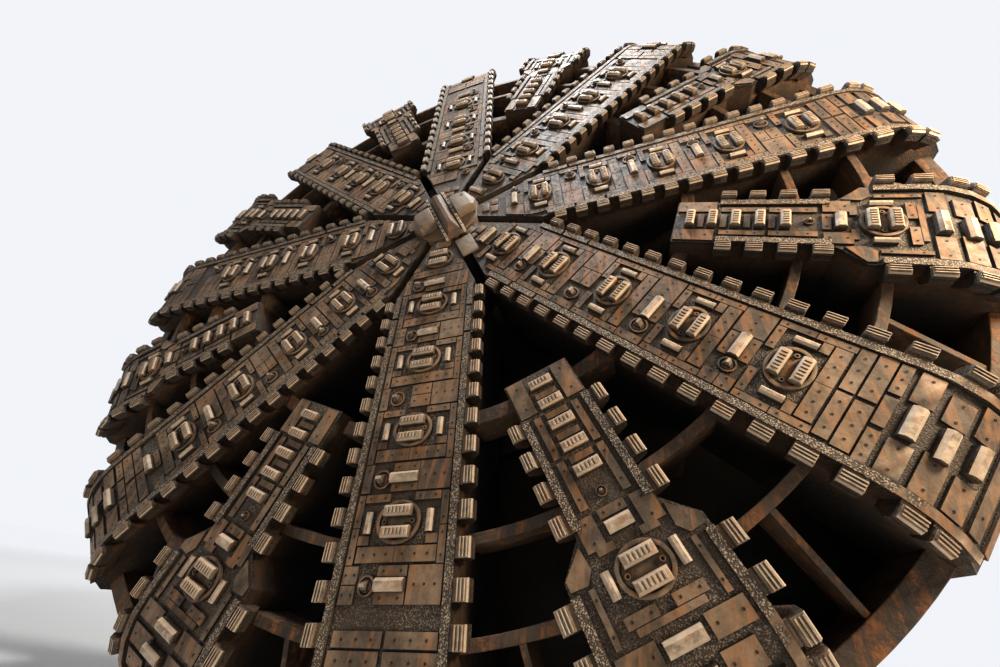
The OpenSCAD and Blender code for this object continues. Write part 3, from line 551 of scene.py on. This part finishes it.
bitLook = {"width": 0.132, "foot": 0.098, "rise": 0.03, "crown": (0.58, 0.95, 1), "edge": 0.006,
           "insert": (0.078, 0.03, 0.028), "insertPitch": 0.05, "insertEdge": 0.005, "margin": 0.05}


def buildBit(name, length):
    # a bar with a sloped crown and a row of hard inserts along it, its foot on z = 0
    bar = addBox(name, (bitLook["width"], length, bitLook["foot"]), (0, 0, bitLook["foot"] / 2))
    stepTop(bar, ((0, bitLook["rise"]),), bitLook["crown"])
    bevelPiece(bar, bitLook["edge"])
    insert = bevelPiece(addBox("insert", bitLook["insert"]), bitLook["insertEdge"], segments=1)
    count = int((length - bitLook["margin"]) / bitLook["insertPitch"])
    top = bitLook["foot"] + bitLook["rise"]
    row = placeCopies("inserts", insert, [at(0, y, top) for y in centred(count, bitLook["insertPitch"])])
    return joinPieces(name, [bar, row])


cassetteLook = {"length": 0.494, "width": 0.6, "height": 0.062, "sides": 36, "wall": 0.046, "well": 0.038,
                "ledge": (0.014, 0.008), "edge": 0.007, "bitLength": 0.372, "bitOut": 0.118, "bitRise": 0.012,
                "boltRadius": 0.03, "boltHeight": 0.05, "boltMiddle": 0.035, "boltSides": 12, "boltSide": 0.19,
                "socket": (0.012, -0.03)}


def buildCassette():
    rim = addRound("rim", cassetteLook["width"] / 2, cassetteLook["height"], (0, 0, cassetteLook["height"] / 2),
                   cassetteLook["sides"], cassetteLook["length"] / cassetteLook["width"])
    stepTop(rim, ((cassetteLook["wall"], -cassetteLook["well"]), cassetteLook["ledge"]))
    bevelPiece(rim, cassetteLook["edge"])
    bits = placeCopies("bits", buildBit("bit", cassetteLook["bitLength"]),
                       [at(side * cassetteLook["bitOut"], 0, cassetteLook["bitRise"]) for side in (-1, 1)])
    bolt = addRound("bolt", cassetteLook["boltRadius"], cassetteLook["boltHeight"], sides=cassetteLook["boltSides"])
    stepTop(bolt, (cassetteLook["socket"],))
    bolts = placeCopies("bolts", bolt, [at(0, side * cassetteLook["boltSide"], cassetteLook["boltMiddle"])
                                        for side in (-1, 1)])
    return joinPieces("cassette", [rim, bits, bolts])


# each spoke's cassettes start one eighth of the pitch further out than those of another
cassetteRows = {"first": 1.216, "pitch": 1.183, "tracks": (1, 5, 6, 2, 7, 4, 0, 3), "most": 6, "end": 6.92}


def rowRadius(k, i):
    return cassetteRows["first"] + cassetteRows["pitch"] * (i + cassetteRows["tracks"][k] / head["spokes"])


cassette = buildCassette()
for k in range(head["spokes"]):
    radii = [rowRadius(k, i) for i in range(cassetteRows["most"])]
    places = [spokeFrame(k) @ at(r, 0) for r in radii if r < cassetteRows["end"]]
    finishPiece(placeCopies("cassettes_%d" % (k + 1), cassette, places, keep=True), "bitSteel", "cutterhead",
                replacing=["twin_cutters_%d" % (k + 1)])
print("cassettes placed")

ladder = {"start": 4.842, "pitch": 0.315, "count": 5, "length": 0.33, "ovalR": 7.18}
shortFrames = [spokeFrame(k + 0.5) for k in range(head["spokes"])]
ladderRow = placeCopies("ladderRow", buildBit("ladderBit", ladder["length"]),
                        [spoke @ at(ladder["start"] + ladder["pitch"] * i, 0)
                         for spoke in shortFrames for i in range(ladder["count"])])
ovals = placeCopies("ovals", cassette, [spoke @ at(ladder["ovalR"], 0) for spoke in shortFrames])
finishPiece(joinPieces("ladderCutters", [ladderRow, ovals]), "bitSteel", "cutterhead",
            replacing=["ladder_bits"])
print("ladder bits placed")

# ribbed caps on the edge teeth
toothCap = {"length": 0.204, "width": 0.116, "thick": 0.01, "ribs": 3, "ribWidth": 0.026, "ribHeight": 0.02,
            "ribPitch": 0.04, "ribSink": 0.002, "ribCrown": (0.97, 0.55, 1), "ribEdge": 0.003, "out": 0.118,
            "top": 0.076, "start": 2.458, "pitch": 0.394, "count": 14, "shortStart": 0.725, "shortCount": 4,
            "wideStart": 0.265, "wideCount": 2, "flats": (1, 2)}


def buildToothCap():
    base = addBox("capBase", (toothCap["length"], toothCap["width"], toothCap["thick"]), (0, 0, toothCap["thick"] / 2))
    rib = addBox("capRib", (toothCap["length"], toothCap["ribWidth"], toothCap["ribHeight"]))
    stepTop(rib, (), toothCap["ribCrown"])
    bevelPiece(rib, toothCap["ribEdge"], segments=1)
    middle = toothCap["thick"] + toothCap["ribHeight"] / 2 - toothCap["ribSink"]
    ribs = placeCopies("capRibs", rib, [at(0, y, middle) for y in centred(toothCap["ribs"], toothCap["ribPitch"])])
    return joinPieces("toothCap", [base, ribs])


def toothPlaces(start, count, half, flats=()):
    spots = [at(start + toothCap["pitch"] * i, 0, toothCap["top"]) for i in range(count)]
    spots += [shoulderFlat(i) @ at(0, 0, toothCap["top"]) for i in flats]
    return [spot @ at(0, side * (half + toothCap["out"])) for spot in spots for side in (-1, 1)]


mainTeeth = toothPlaces(toothCap["start"], toothCap["count"], head["mainHalf"], toothCap["flats"])
shortTeeth = toothPlaces(head["shortR"] + toothCap["shortStart"], toothCap["shortCount"], head["shortHalf"])
shortTeeth += toothPlaces(head["flareEndR"] + toothCap["wideStart"], toothCap["wideCount"], head["wideHalf"],
                          toothCap["flats"])
capMaster = buildToothCap()
for k in range(head["spokes"]):
    places = [spokeFrame(k) @ place for place in mainTeeth] + [shortFrames[k] @ place for place in shortTeeth]
    finishPiece(placeCopies("tooth_caps_%d" % (k + 1), capMaster, places, keep=True), "bitSteel", "cutterhead",
                smooth=30)
removePiece(capMaster)
print("tooth caps placed")

def bothSides(*plates):
    return [(along, side * out, length, width) for along, out, length, width in plates for side in (1, -1)]


# wear plates: along from the row's cassette, out, length, width, as in the model
bayPlates = bothSides((-0.144, 0.588, 0.38, 0.092), (0.25, 0.588, 0.384, 0.092), (-0.288, 0.352, 0.096, 0.35))
bayPlates += [(0.342, 0.262, 0.164, 0.534), (0.342, -0.262, 0.164, 0.5)]
rowPlates = [[(0.638, 0.413, 0.366, 0.44), (0.638, -0.568, 0.366, 0.13), (0.514, -0.006, 0.116, 0.38),
              (0.77, -0.006, 0.102, 0.38)],
             [(0.638, 0.424, 0.366, 0.416), (0.544, -0.536, 0.178, 0.19), (0.734, -0.536, 0.178, 0.19),
              (0.508, 0.01, 0.106, 0.37), (0.764, 0.01, 0.114, 0.37)],
             [(0.638, 0.424, 0.366, 0.416), (0.538, 0.04, 0.166, 0.32), (0.728, 0.04, 0.186, 0.32),
              (0.638, -0.568, 0.366, 0.13)]]
outerPlates = [(-0.405, 0.34, 0.14, 0.6), (-0.405, -0.3, 0.14, 0.6), (-0.23, 0.345, 0.16, 0.61),
               (-0.23, -0.318, 0.16, 0.61), (-0.072, 0.44, 0.11, 0.4), (-0.072, -0.45, 0.11, 0.4)]
# which flat of the shoulder, out, width
shoulderPlates = [(0, 0.44, 0.4), (0, -0.45, 0.4), (1, 0.36, 0.33), (1, -0.42, 0.45), (2, 0.43, 0.38),
                  (2, -0.43, 0.38), (3, 0.0, 1.2)]
shortPlates = bothSides((0.302, 0.335, 0.56, 0.236), (0.946, 0.266, 0.59, 0.096), (1.576, 0.262, 0.58, 0.1),
                        (2.755, 0.56, 0.49, 0.062), (2.87, 0.25, 0.1, 0.33))
shortPlates += [(2.09, 0.34, 0.32, 0.236), (2.09, -0.33, 0.32, 0.216), (1.97, 0, 0.104, 0.32)]
spokeKinds = ((0, 1), (1, 1), (2, -1), (1, -1), (0, 1), (2, 1), (1, 1), (0, -1))   # first row's kind, side
plugLook = {"radius": 0.015, "height": 0.006, "middle": 0.002, "sides": 10, "socket": (0.005, -0.004), "count": 2,
            "spread": 0.3, "shoulderSpread": 0.32, "longPlate": 0.4, "longCount": 3, "margin": 0.035}


def fieldHalf(r):
    # half the width between the edge bars, and between the slots further in
    return min(head["mainHalf"] - head["barW"] - head["barGap"],
               r * math.tan(math.radians(spokeStep / 2)) - head["slotSide"] - head["barGap"])


def fitsField(along, out, length):
    # the model trims a plate to the spoke's field where most of it is left
    return (abs(out) < fieldHalf(along - length / 4) - head["barGap"]
            and along + length / 2 < head["flatR"] - head["bayEnd"]
            and along - length / 2 > head["hubR"] + head["barGap"])


def insideField(place):
    return abs(place.translation.y) < fieldHalf(place.translation.x) - plugLook["margin"]


def plateHoles(along, out, length, width, count=plugLook["count"]):
    # places of the plug holes along the longer side of a plate
    steps = centred(count, 2 * plugLook["spread"] * max(length, width) / (count - 1))
    if length > width:
        return [at(along + step, out, head["plateH"]) for step in steps]
    return [at(along, out + step, head["plateH"]) for step in steps]


def rowHoles(k):
    kind, side = spokeKinds[k]
    holes = []
    for i in range(-1, cassetteRows["most"]):
        r = rowRadius(k, i)
        rows = list(rowPlates[(kind + i) % len(rowPlates)])
        if i >= 0 and r < cassetteRows["end"]:
            rows += bayPlates
        for along, out, length, width in rows:
            if fitsField(r + along, side * out, length):
                count = plugLook["longCount" if max(length, width) > plugLook["longPlate"] else "count"]
                holes += filter(insideField, plateHoles(r + along, side * out, length, width, count))
    for along, out, length, width in outerPlates:
        holes += plateHoles(head["flatR"] + along, side * out, length, width, plugLook["longCount"])
    return holes


shoulderHoles = [shoulderFlat(i) @ at(0, out + step * width * plugLook["shoulderSpread"], head["plateH"])
                 for i, out, width in shoulderPlates for step in (-1, 1)]
shortHoles = [hole for along, out, length, width in shortPlates
              for hole in plateHoles(head["shortR"] + along, out, length, width)]
plug = addRound("plug", plugLook["radius"], plugLook["height"], (0, 0, plugLook["middle"]), plugLook["sides"])
stepTop(plug, (plugLook["socket"],))
for k in range(head["spokes"]):
    places = [spokeFrame(k) @ hole for hole in rowHoles(k) + shoulderHoles]
    places += [shortFrames[k] @ hole for hole in shortHoles + shoulderHoles]
    finishPiece(placeCopies("plate_plugs_%d" % (k + 1), plug, places, keep=True), "plugSteel", "cutterhead",
                smooth=30)
removePiece(plug)
print("plate plugs placed")

# hub: the fishtail bit, the wedges beside it and the square plate at its end

fishtail = {"length": 1.68, "width": 0.46, "height": 0.238, "shoulder": 0.065, "crestShare": 0.25, "endHeight": 0.075,
            "crestEnd": 0.605, "edge": (0.03, 3, 20), "inserts": 18, "insertLength": 0.05, "insertShare": 2.1,
            "insertHeight": 0.024, "insertEdge": 0.007, "railWidth": 0.056, "railHeight": 0.13, "railFloor": 0.06,
            "railWall": 0.012, "railEdge": 0.005, "blocks": 10, "blockShare": 0.5, "blockPlay": 0.002}
# how the near-black boxes of painted shade sit in the rails' windows
windowShadeFit = {"under": 0.004, "below": 0.022, "overlap": 0.004, "thin": 0.022, "back": 0.004, "edge": 0.006}
hubTop = spokeFrame(0.5) @ at(0, 0, head["hubRise"])
blockPitch = fishtail["length"] / fishtail["blocks"]


def buildRidge():
    height, length = fishtail["height"], fishtail["length"]
    half = fishtail["width"] / 2 - fishtail["railWidth"]
    crest = half * fishtail["crestShare"]
    ridge = addBox("ridge", (length, half * 2, height), (0, 0, height / 2))
    for side in (-1, 1):
        cutAway(ridge, (0, side * half, fishtail["shoulder"]),
                (0, side * (height - fishtail["shoulder"]), half - crest))
        cutAway(ridge, (side * length / 2, 0, fishtail["endHeight"]),
                (side * (height - fishtail["endHeight"]), 0, length / 2 - fishtail["crestEnd"]))
    bevelPiece(ridge, *fishtail["edge"])
    insert = addBox("insert", (fishtail["insertLength"], crest * fishtail["insertShare"], fishtail["insertHeight"]))
    bevelPiece(insert, fishtail["insertEdge"], segments=1)
    pitch = fishtail["crestEnd"] * 2 / fishtail["inserts"]
    row = placeCopies("crestInserts", insert, [at(x, 0, height) for x in centred(fishtail["inserts"], pitch)])
    return joinPieces("ridge", [ridge, row])


def buildRail():
    # a foot and an inner wall with blocks along them; its outer side is towards +y
    height, width, length = fishtail["railHeight"], fishtail["railWidth"], fishtail["length"]
    thick, floor, play = fishtail["railWall"], fishtail["railFloor"], fishtail["blockPlay"]
    wall = addBox("wall", (length, thick, height), (0, (thick - width) / 2, height / 2))
    foot = addBox("foot", (length, width, floor), (0, 0, floor / 2))
    block = addBox("block", (blockPitch * fishtail["blockShare"], width - play, height - play),
                   (0, play / 2, (height - play) / 2))
    for piece in (wall, foot, block):
        bevelPiece(piece, fishtail["railEdge"])
    blocks = placeCopies("blocks", block, [at(x, 0) for x in centred(fishtail["blocks"], blockPitch)])
    return joinPieces("rail", [wall, foot, blocks])


def buildRailWindowShade():
    # near-black boxes between the blocks, a little behind their faces: painted shade in the rail's windows
    floor, top = fishtail["railFloor"] - windowShadeFit["under"], fishtail["railHeight"] - windowShadeFit["below"]
    length = blockPitch * fishtail["blockShare"] + windowShadeFit["overlap"]
    fill = addBox("fill", (length, fishtail["railWidth"] - windowShadeFit["thin"], top - floor),
                  (0, -windowShadeFit["back"], (top + floor) / 2))
    bevelPiece(fill, windowShadeFit["edge"], segments=1)
    return placeCopies("railWindowShades", fill, [at(x, 0) for x in centred(fishtail["blocks"] - 1, blockPitch)])


wedges = {"length": 0.6, "inner": 0.245, "outer": 0.759, "height": 0.23, "lip": 0.08, "knee": (0.609, 0.196),
          "topStart": 0.385, "edge": (0.02, 3, 20), "ring": (-0.18, 0.515), "ringR": 0.042, "ringTube": 0.009,
          "ringSides": 28, "eyeShare": 0.6, "eyeThick": 0.012, "eyeSides": 20}


def buildWedge():
    height, outer, topStart = wedges["height"], wedges["outer"], wedges["topStart"]
    kneeY, kneeZ = wedges["knee"]
    wedge = addBox("wedge", (wedges["length"], outer - wedges["inner"], height),
                   (0, (wedges["inner"] + outer) / 2, height / 2))
    for side in (-1, 1):
        cutAway(wedge, (0, outer, 0), (side * math.tan(math.radians(spokeStep / 2)), 1, 0))
    cutAway(wedge, (0, kneeY, kneeZ), (0, kneeZ - wedges["lip"], outer - kneeY))
    cutAway(wedge, (0, topStart, height), (0, height - kneeZ, kneeY - topStart))
    bevelPiece(wedge, *wedges["edge"])
    share = (wedges["ring"][1] - topStart) / (kneeY - topStart)
    eyePlace = (*wedges["ring"], height - share * (height - kneeZ))
    ring = addTorus(wedges["ringR"], wedges["ringTube"], eyePlace, wedges["ringSides"])
    eye = addRound("eye", wedges["ringR"] * wedges["eyeShare"], wedges["eyeThick"], eyePlace, wedges["eyeSides"])
    return joinPieces("wedge", [wedge, ring, eye])


railOut = (fishtail["width"] - fishtail["railWidth"]) / 2
railPlaces = [hubTop @ at(0, side * railOut, 0, 90 - side * 90) for side in (-1, 1)]
finishPiece(placeCopies("fishtail_ridge", buildRidge(), [hubTop]), "ridgeSteel", "cutterhead",
            replacing=["centre_bit"])
finishPiece(placeCopies("fishtail_rails", buildRail(), railPlaces), "railSteel", "cutterhead")
# near-black boxes as painted shade in the rails' windows
finishPiece(placeCopies("rail_window_shade", buildRailWindowShade(), railPlaces), "railWindowShade", "cutterhead")
finishPiece(placeCopies("hub_wedges", buildWedge(), [hubTop @ at(0, 0, 0, turn) for turn in (0, 180)]),
            "castSteel", "cutterhead")

# small tiles on the bare ground round the hub: spoke, along, out, length, width
hubTiles = ((0, 0.95, 0.02, 0.13, 0.3), (1, 0.9, -0.05, 0.16, 0.22), (1, 1.1, 0.09, 0.13, 0.2),
            (1, 1.09, -0.14, 0.12, 0.16), (2, 0.92, 0.0, 0.15, 0.26), (2, 1.12, 0.12, 0.14, 0.18),
            (2, 1.12, -0.11, 0.16, 0.2), (3, 0.93, 0.03, 0.17, 0.24), (4, 0.9, 0.02, 0.14, 0.24),
            (4, 1.08, -0.12, 0.14, 0.18), (4, 1.1, 0.12, 0.16, 0.2), (5, 0.94, 0.0, 0.16, 0.28),
            (5, 1.14, 0.11, 0.13, 0.2), (6, 0.87, 0.0, 0.11, 0.22), (7, 0.92, -0.03, 0.15, 0.25),
            (7, 1.12, 0.1, 0.12, 0.22))
tileLook = {"thick": 0.03, "middle": 0.014, "edge": 0.006}
tiles = []
for k, along, out, length, width in hubTiles:
    tile = addBox("tile", (length, width, tileLook["thick"]), (0, 0, tileLook["middle"]))
    tiles.append(placeCopies("tiles", bevelPiece(tile, tileLook["edge"]), [spokeFrame(k) @ at(along, out)]))
finishPiece(joinPieces("hub_tiles", tiles), "girderSteel", "cutterhead")

squarePlate = {"size": (0.54, 0.35, 0.05), "along": 1.236, "out": 0.09, "edge": 0.008, "holeInset": 0.06,
               "holeR": 0.014, "holeRise": 0.004, "holeSides": 12}
plateL, plateW, plateT = squarePlate["size"]
cover = bevelPiece(addBox("cover", squarePlate["size"], (0, 0, plateT / 2)), squarePlate["edge"])
hole = addRound("hole", squarePlate["holeR"], squarePlate["holeRise"], (0, 0, plateT), squarePlate["holeSides"])
holeX, holeY = plateL / 2 - squarePlate["holeInset"], plateW / 2 - squarePlate["holeInset"]
rims = placeCopies("rims", hole, [at(x * holeX, y * holeY) for x in (-1, 1) for y in (-1, 1)])
finishPiece(placeCopies("square_plate", joinPieces("cover", [cover, rims]),
                        [spokeFrame(0.5) @ at(squarePlate["along"], squarePlate["out"])]),
            "castSteel", "cutterhead")
print("hub dressed")

# drive motors, doors and bolts at the rear

def aroundAxis(degrees, radius, y):
    # x outwards, z towards the rear, at an angle round the machine axis
    t = math.radians(degrees)
    return Matrix(((math.cos(t), -math.sin(t), 0, radius * math.cos(t)), (0, 0, 1, y),
                   (-math.sin(t), -math.cos(t), 0, -radius * math.sin(t)), (0, 0, 0, 1)))


def ringOf(count, radius):
    return [Matrix.Rotation(math.radians(i * 360 / count), 4, "Z") @ at(radius, 0) for i in range(count)]


boltLook = {"sides": 6, "chamfer": 0.18, "lift": 0.12}


def buildBolt(radius, height):
    # a hexagon head with its chamfer in shares of the radius
    bolt = addRound("bolt", radius, height, (0, 0, height / 2), boltLook["sides"])
    selectTop(bolt)
    bpy.ops.mesh.inset(thickness=radius * boltLook["chamfer"])
    bpy.ops.transform.translate(value=(0, 0, radius * boltLook["lift"]))
    doneEditing()
    return bolt


motors = {"count": 16, "ringR": 3.75, "radius": 0.28, "gearboxR": 0.35, "frontY": -0.92, "rearY": -0.22,
          "ribs": 20, "rib": (0.044, 0.016, 0.5), "ribAlong": 0.48, "ribEdge": 0.004, "capShare": 0.93,
          "capThick": 0.05, "capOver": 0.02, "capSides": 32, "capSteps": ((0.05, -0.012), (0.1, 0.03)),
          "capEdge": 0.006, "box": (0.13, 0.22, 0.26), "boxOut": 0.05, "boxEdge": 0.012, "bolts": 12,
          "bolt": (0.022, 0.02)}


def buildMotorDress():
    length, radius = motors["rearY"] - motors["frontY"], motors["radius"]
    rib = bevelPiece(addBox("rib", motors["rib"]), motors["ribEdge"], segments=1)
    ribs = placeCopies("ribs", rib, [m @ at(0, 0, length * motors["ribAlong"]) for m in ringOf(motors["ribs"], radius)])
    cap = addRound("cap", radius * motors["capShare"], motors["capThick"], (0, 0, length + motors["capOver"]),
                   motors["capSides"])
    stepTop(cap, motors["capSteps"])
    bevelPiece(cap, motors["capEdge"])
    box = addBox("terminalBox", motors["box"], (radius + motors["boxOut"], 0, length / 2))
    bevelPiece(box, motors["boxEdge"])
    boltsR = (radius + motors["gearboxR"]) / 2
    bolts = placeCopies("bolts", buildBolt(*motors["bolt"]), ringOf(motors["bolts"], boltsR))
    return joinPieces("motorDress", [ribs, cap, box, bolts])


places = [aroundAxis(i * 360 / motors["count"], motors["ringR"], motors["frontY"]) for i in range(motors["count"])]
finishPiece(placeCopies("motor_fittings", buildMotorDress(), places), "drivePaint", "front_shield")

lock = {"ringR": 6.5, "apart": 22.5, "flangeR": 0.89, "rearY": -0.23, "doorR": 0.46, "doorThick": 0.05,
        "doorMiddle": 0.02, "doorSides": 40, "dish": (0.05, 0.03), "dishCrown": (0.9, 0.9, 1), "doorEdge": 0.01,
        "wheelR": 0.15, "wheelTube": 0.014, "wheelZ": 0.13, "wheelSpoke": (0.3, 0.02, 0.016), "wheelSpokes": 3,
        "stemR": 0.03, "stemLength": 0.12, "stemMiddle": 0.085, "stemSides": 16, "hinge": (0.16, 0.1, 0.07),
        "hingePlace": (0.48, 0.17, 0.035), "hingeEdge": 0.012, "bolts": 24, "boltIn": 0.06, "bolt": (0.026, 0.024)}


def buildLockDoor():
    door = addRound("door", lock["doorR"], lock["doorThick"], (0, 0, lock["doorMiddle"]), lock["doorSides"])
    stepTop(door, (lock["dish"],), lock["dishCrown"])
    bevelPiece(door, lock["doorEdge"])
    wheel = addTorus(lock["wheelR"], lock["wheelTube"], (0, 0, lock["wheelZ"]))
    spokes = placeCopies("wheelSpokes", addBox("wheelSpoke", lock["wheelSpoke"], (0, 0, lock["wheelZ"])),
                         [at(0, 0, 0, 180 / lock["wheelSpokes"] * i) for i in range(lock["wheelSpokes"])])
    stem = addRound("stem", lock["stemR"], lock["stemLength"], (0, 0, lock["stemMiddle"]), lock["stemSides"])
    x, y, z = lock["hingePlace"]
    hinges = [bevelPiece(addBox("hinge", lock["hinge"], (x, side * y, z)), lock["hingeEdge"]) for side in (1, -1)]
    bolts = placeCopies("bolts", buildBolt(*lock["bolt"]), ringOf(lock["bolts"], lock["flangeR"] - lock["boltIn"]))
    return joinPieces("lockDoor", [door, wheel, stem, *hinges, bolts, spokes])


places = [aroundAxis(-90 + side * lock["apart"], lock["ringR"], lock["rearY"]) for side in (-1, 1)]
finishPiece(placeCopies("lock_doors", buildLockDoor(), places), "shieldPaint", "front_shield")

# rings of bolts: where, their size, then each ring's radius and count
boltRings = {"union_bolts": (-0.5, (0.03, 0.028), ((0.36, 12),)),
             "housing_bolts": (-1.3, (0.032, 0.03), ((4.42, 96), (2.92, 64)))}
for name, (y, size, rings) in boltRings.items():
    places = [aroundAxis(0, 0, y) @ m for radius, count in rings for m in ringOf(count, radius)]
    finishPiece(placeCopies(name, buildBolt(*size), places), "drivePaint", "front_shield")

# welded seams on the shield's skin
skinR = 8.7
seams = {"length": 3.38, "count": 8, "turn": 11, "width": 0.03, "sides": 8, "flatness": 0.4, "middleY": -1.7,
         "hoopTube": 0.008, "hoopSides": (192, 6)}
bead = addRound("bead", seams["width"] / 2, seams["length"], sides=seams["sides"], squeeze=seams["flatness"])
beads = placeCopies("beads", bead, [aroundAxis(i * 360 / seams["count"] + seams["turn"], skinR, seams["middleY"])
                                    for i in range(seams["count"])])
hoop = addTorus(skinR, seams["hoopTube"], (0, seams["middleY"], 0), *seams["hoopSides"], tilt=90)
finishPiece(joinPieces("skin_seams", [beads, hoop]), "shieldPaint", "front_shield", smooth=60)

# closed injection ports round the skin; a row has its place along the axis, its count and its first angle
ports = {"radius": 0.11, "rise": 0.011, "sides": 28, "steps": ((0.022, -0.006), (0.03, 0.005)), "edge": 0.002,
         "rows": ((-2.85, 24, 4), (-0.75, 16, 0))}


def onSkin(degrees, y):
    # z straight out of the shield's skin
    t = math.radians(degrees)
    return Matrix(((0, -math.sin(t), math.cos(t), skinR * math.cos(t)), (1, 0, 0, y),
                   (0, math.cos(t), math.sin(t), skinR * math.sin(t)), (0, 0, 0, 1)))


port = addRound("port", ports["radius"], ports["rise"] * 2, sides=ports["sides"])
stepTop(port, ports["steps"])
bevelPiece(port, ports["edge"], segments=1)
places = [onSkin(start + i * 360 / count, y) for y, count, start in ports["rows"] for i in range(count)]
finishPiece(placeCopies("injection_ports", port, places), "drivePaint", "front_shield")
print("rear dressed")

# floor, light and camera

backdrop = {"color": (0.93, 0.95, 1.0), "seen": 0.95, "ambient": 0.1}
floorLook = {"radius": 90, "sides": 96, "grain": (0.6, 3.0, 0.5), "dark": (0.8, 0.79, 0.77),
             "light": (0.84, 0.83, 0.81), "roughness": 0.9, "level": 0.93, "fade": (12.0, 42.0)}
# name, place, target, size, power, colour
softboxes = (("keyLight", (2, -10, 15.5), (1, -5, 2), 6, 6800, (0.94, 0.97, 1.0)),
             ("fillLight", (12, -7.8, -0.5), (8.5, -4.8, -1), 3.5, 2700, (1.0, 0.8, 0.56)),
             ("rearLight", (8, 26, 20), (0, 0, 0), 14, 9500, (1, 1, 1)),
             ("rearFill", (-20, 20, 8), (0, 0, 0), 12, 4200, (0.95, 0.97, 1.0)))
photoView = {"place": (3.656, -9.535, -6.583), "azimuth": -22.91, "elevation": 34.41, "roll": 10.36, "lens": 13.58}


def addFloor():
    startFresh()
    bpy.ops.mesh.primitive_circle_add(vertices=floorLook["sides"], radius=floorLook["radius"], fill_type="NGON",
                                      location=(0, 0, cadBox[0].z))
    floor = bpy.context.object
    floor.name = "floor"
    applyPlace()
    material = bpy.data.materials.new("paleFloor")
    material.use_nodes = True
    tree = material.node_tree
    shader = tree.nodes["Principled BSDF"]
    place = objectPlace(tree)
    color = mixColor(tree, noise(tree, place, *floorLook["grain"]), floorLook["dark"], floorLook["light"])
    feed(tree, shader.inputs["Base Color"], color)
    feed(tree, shader.inputs["Roughness"], floorLook["roughness"])
    # far from the machine the camera sees the floor as pale as the backdrop
    distance = addNode(tree, "ShaderNodeVectorMath", {0: place}, operation="LENGTH").outputs["Value"]
    seen = addNode(tree, "ShaderNodeLightPath").outputs["Is Camera Ray"]
    pale = addNode(tree, "ShaderNodeEmission", {"Color": backdrop["color"], "Strength": floorLook["level"]}).outputs[0]
    blend = addNode(tree, "ShaderNodeMixShader", {0: product(tree, seen, ramp(tree, distance, *floorLook["fade"])),
                                                  1: shader.outputs[0], 2: pale}).outputs[0]
    feed(tree, tree.nodes["Material Output"].inputs["Surface"], blend)
    floor.data.materials.append(material)


def addWorld():
    # pale where it is seen, and a weak light of its own
    world = bpy.data.worlds.new("studio")
    bpy.context.scene.world = world
    world.use_nodes = True
    tree = world.node_tree
    path = addNode(tree, "ShaderNodeLightPath").outputs
    seen = calc(tree, "MAXIMUM", path["Is Camera Ray"],
                calc(tree, "MAXIMUM", path["Is Glossy Ray"], path["Is Transmission Ray"]))
    level = addNode(tree, "ShaderNodeMapRange", {"Value": seen, "To Min": backdrop["ambient"],
                                                 "To Max": backdrop["seen"]})
    sky = tree.nodes["Background"]
    feed(tree, sky.inputs["Color"], backdrop["color"])
    feed(tree, sky.inputs["Strength"], level.outputs["Result"])


def addHolder(name, data):
    holder = bpy.data.objects.new(name, data)
    bpy.context.scene.collection.objects.link(holder)
    return holder


def addSoftbox(name, place, target, size, power, color):
    lamp = bpy.data.lights.new(name, "AREA")
    lamp.shape = "DISK"
    lamp.size = size
    lamp.energy = power
    lamp.color = color
    holder = addHolder(name, lamp)
    holder.location = place
    holder.rotation_euler = (Vector(target) - Vector(place)).to_track_quat("-Z", "Y").to_euler()


def addCamera(place, azimuth, elevation, roll, lens):
    az, el, ro = (math.radians(v) for v in (azimuth, elevation, roll))
    forward = Vector((math.sin(az) * math.cos(el), math.cos(az) * math.cos(el), math.sin(el)))
    right = forward.cross(Vector((0, 0, 1))).normalized()
    up = right.cross(forward)
    turnedRight = math.cos(ro) * right + math.sin(ro) * up
    turnedUp = -math.sin(ro) * right + math.cos(ro) * up
    data = bpy.data.cameras.new("camera")
    data.sensor_width = 36
    data.lens = lens
    data.clip_end = 500
    camera = addHolder("camera", data)
    rotation = Matrix((turnedRight, turnedUp, -forward)).transposed().to_4x4()
    camera.matrix_world = Matrix.Translation(place) @ rotation
    bpy.context.scene.camera = camera


addFloor()
addWorld()
for softbox in softboxes:
    addSoftbox(*softbox)
addCamera(**photoView)
bpy.context.scene.view_settings.view_transform = "Standard"
print("stage set")
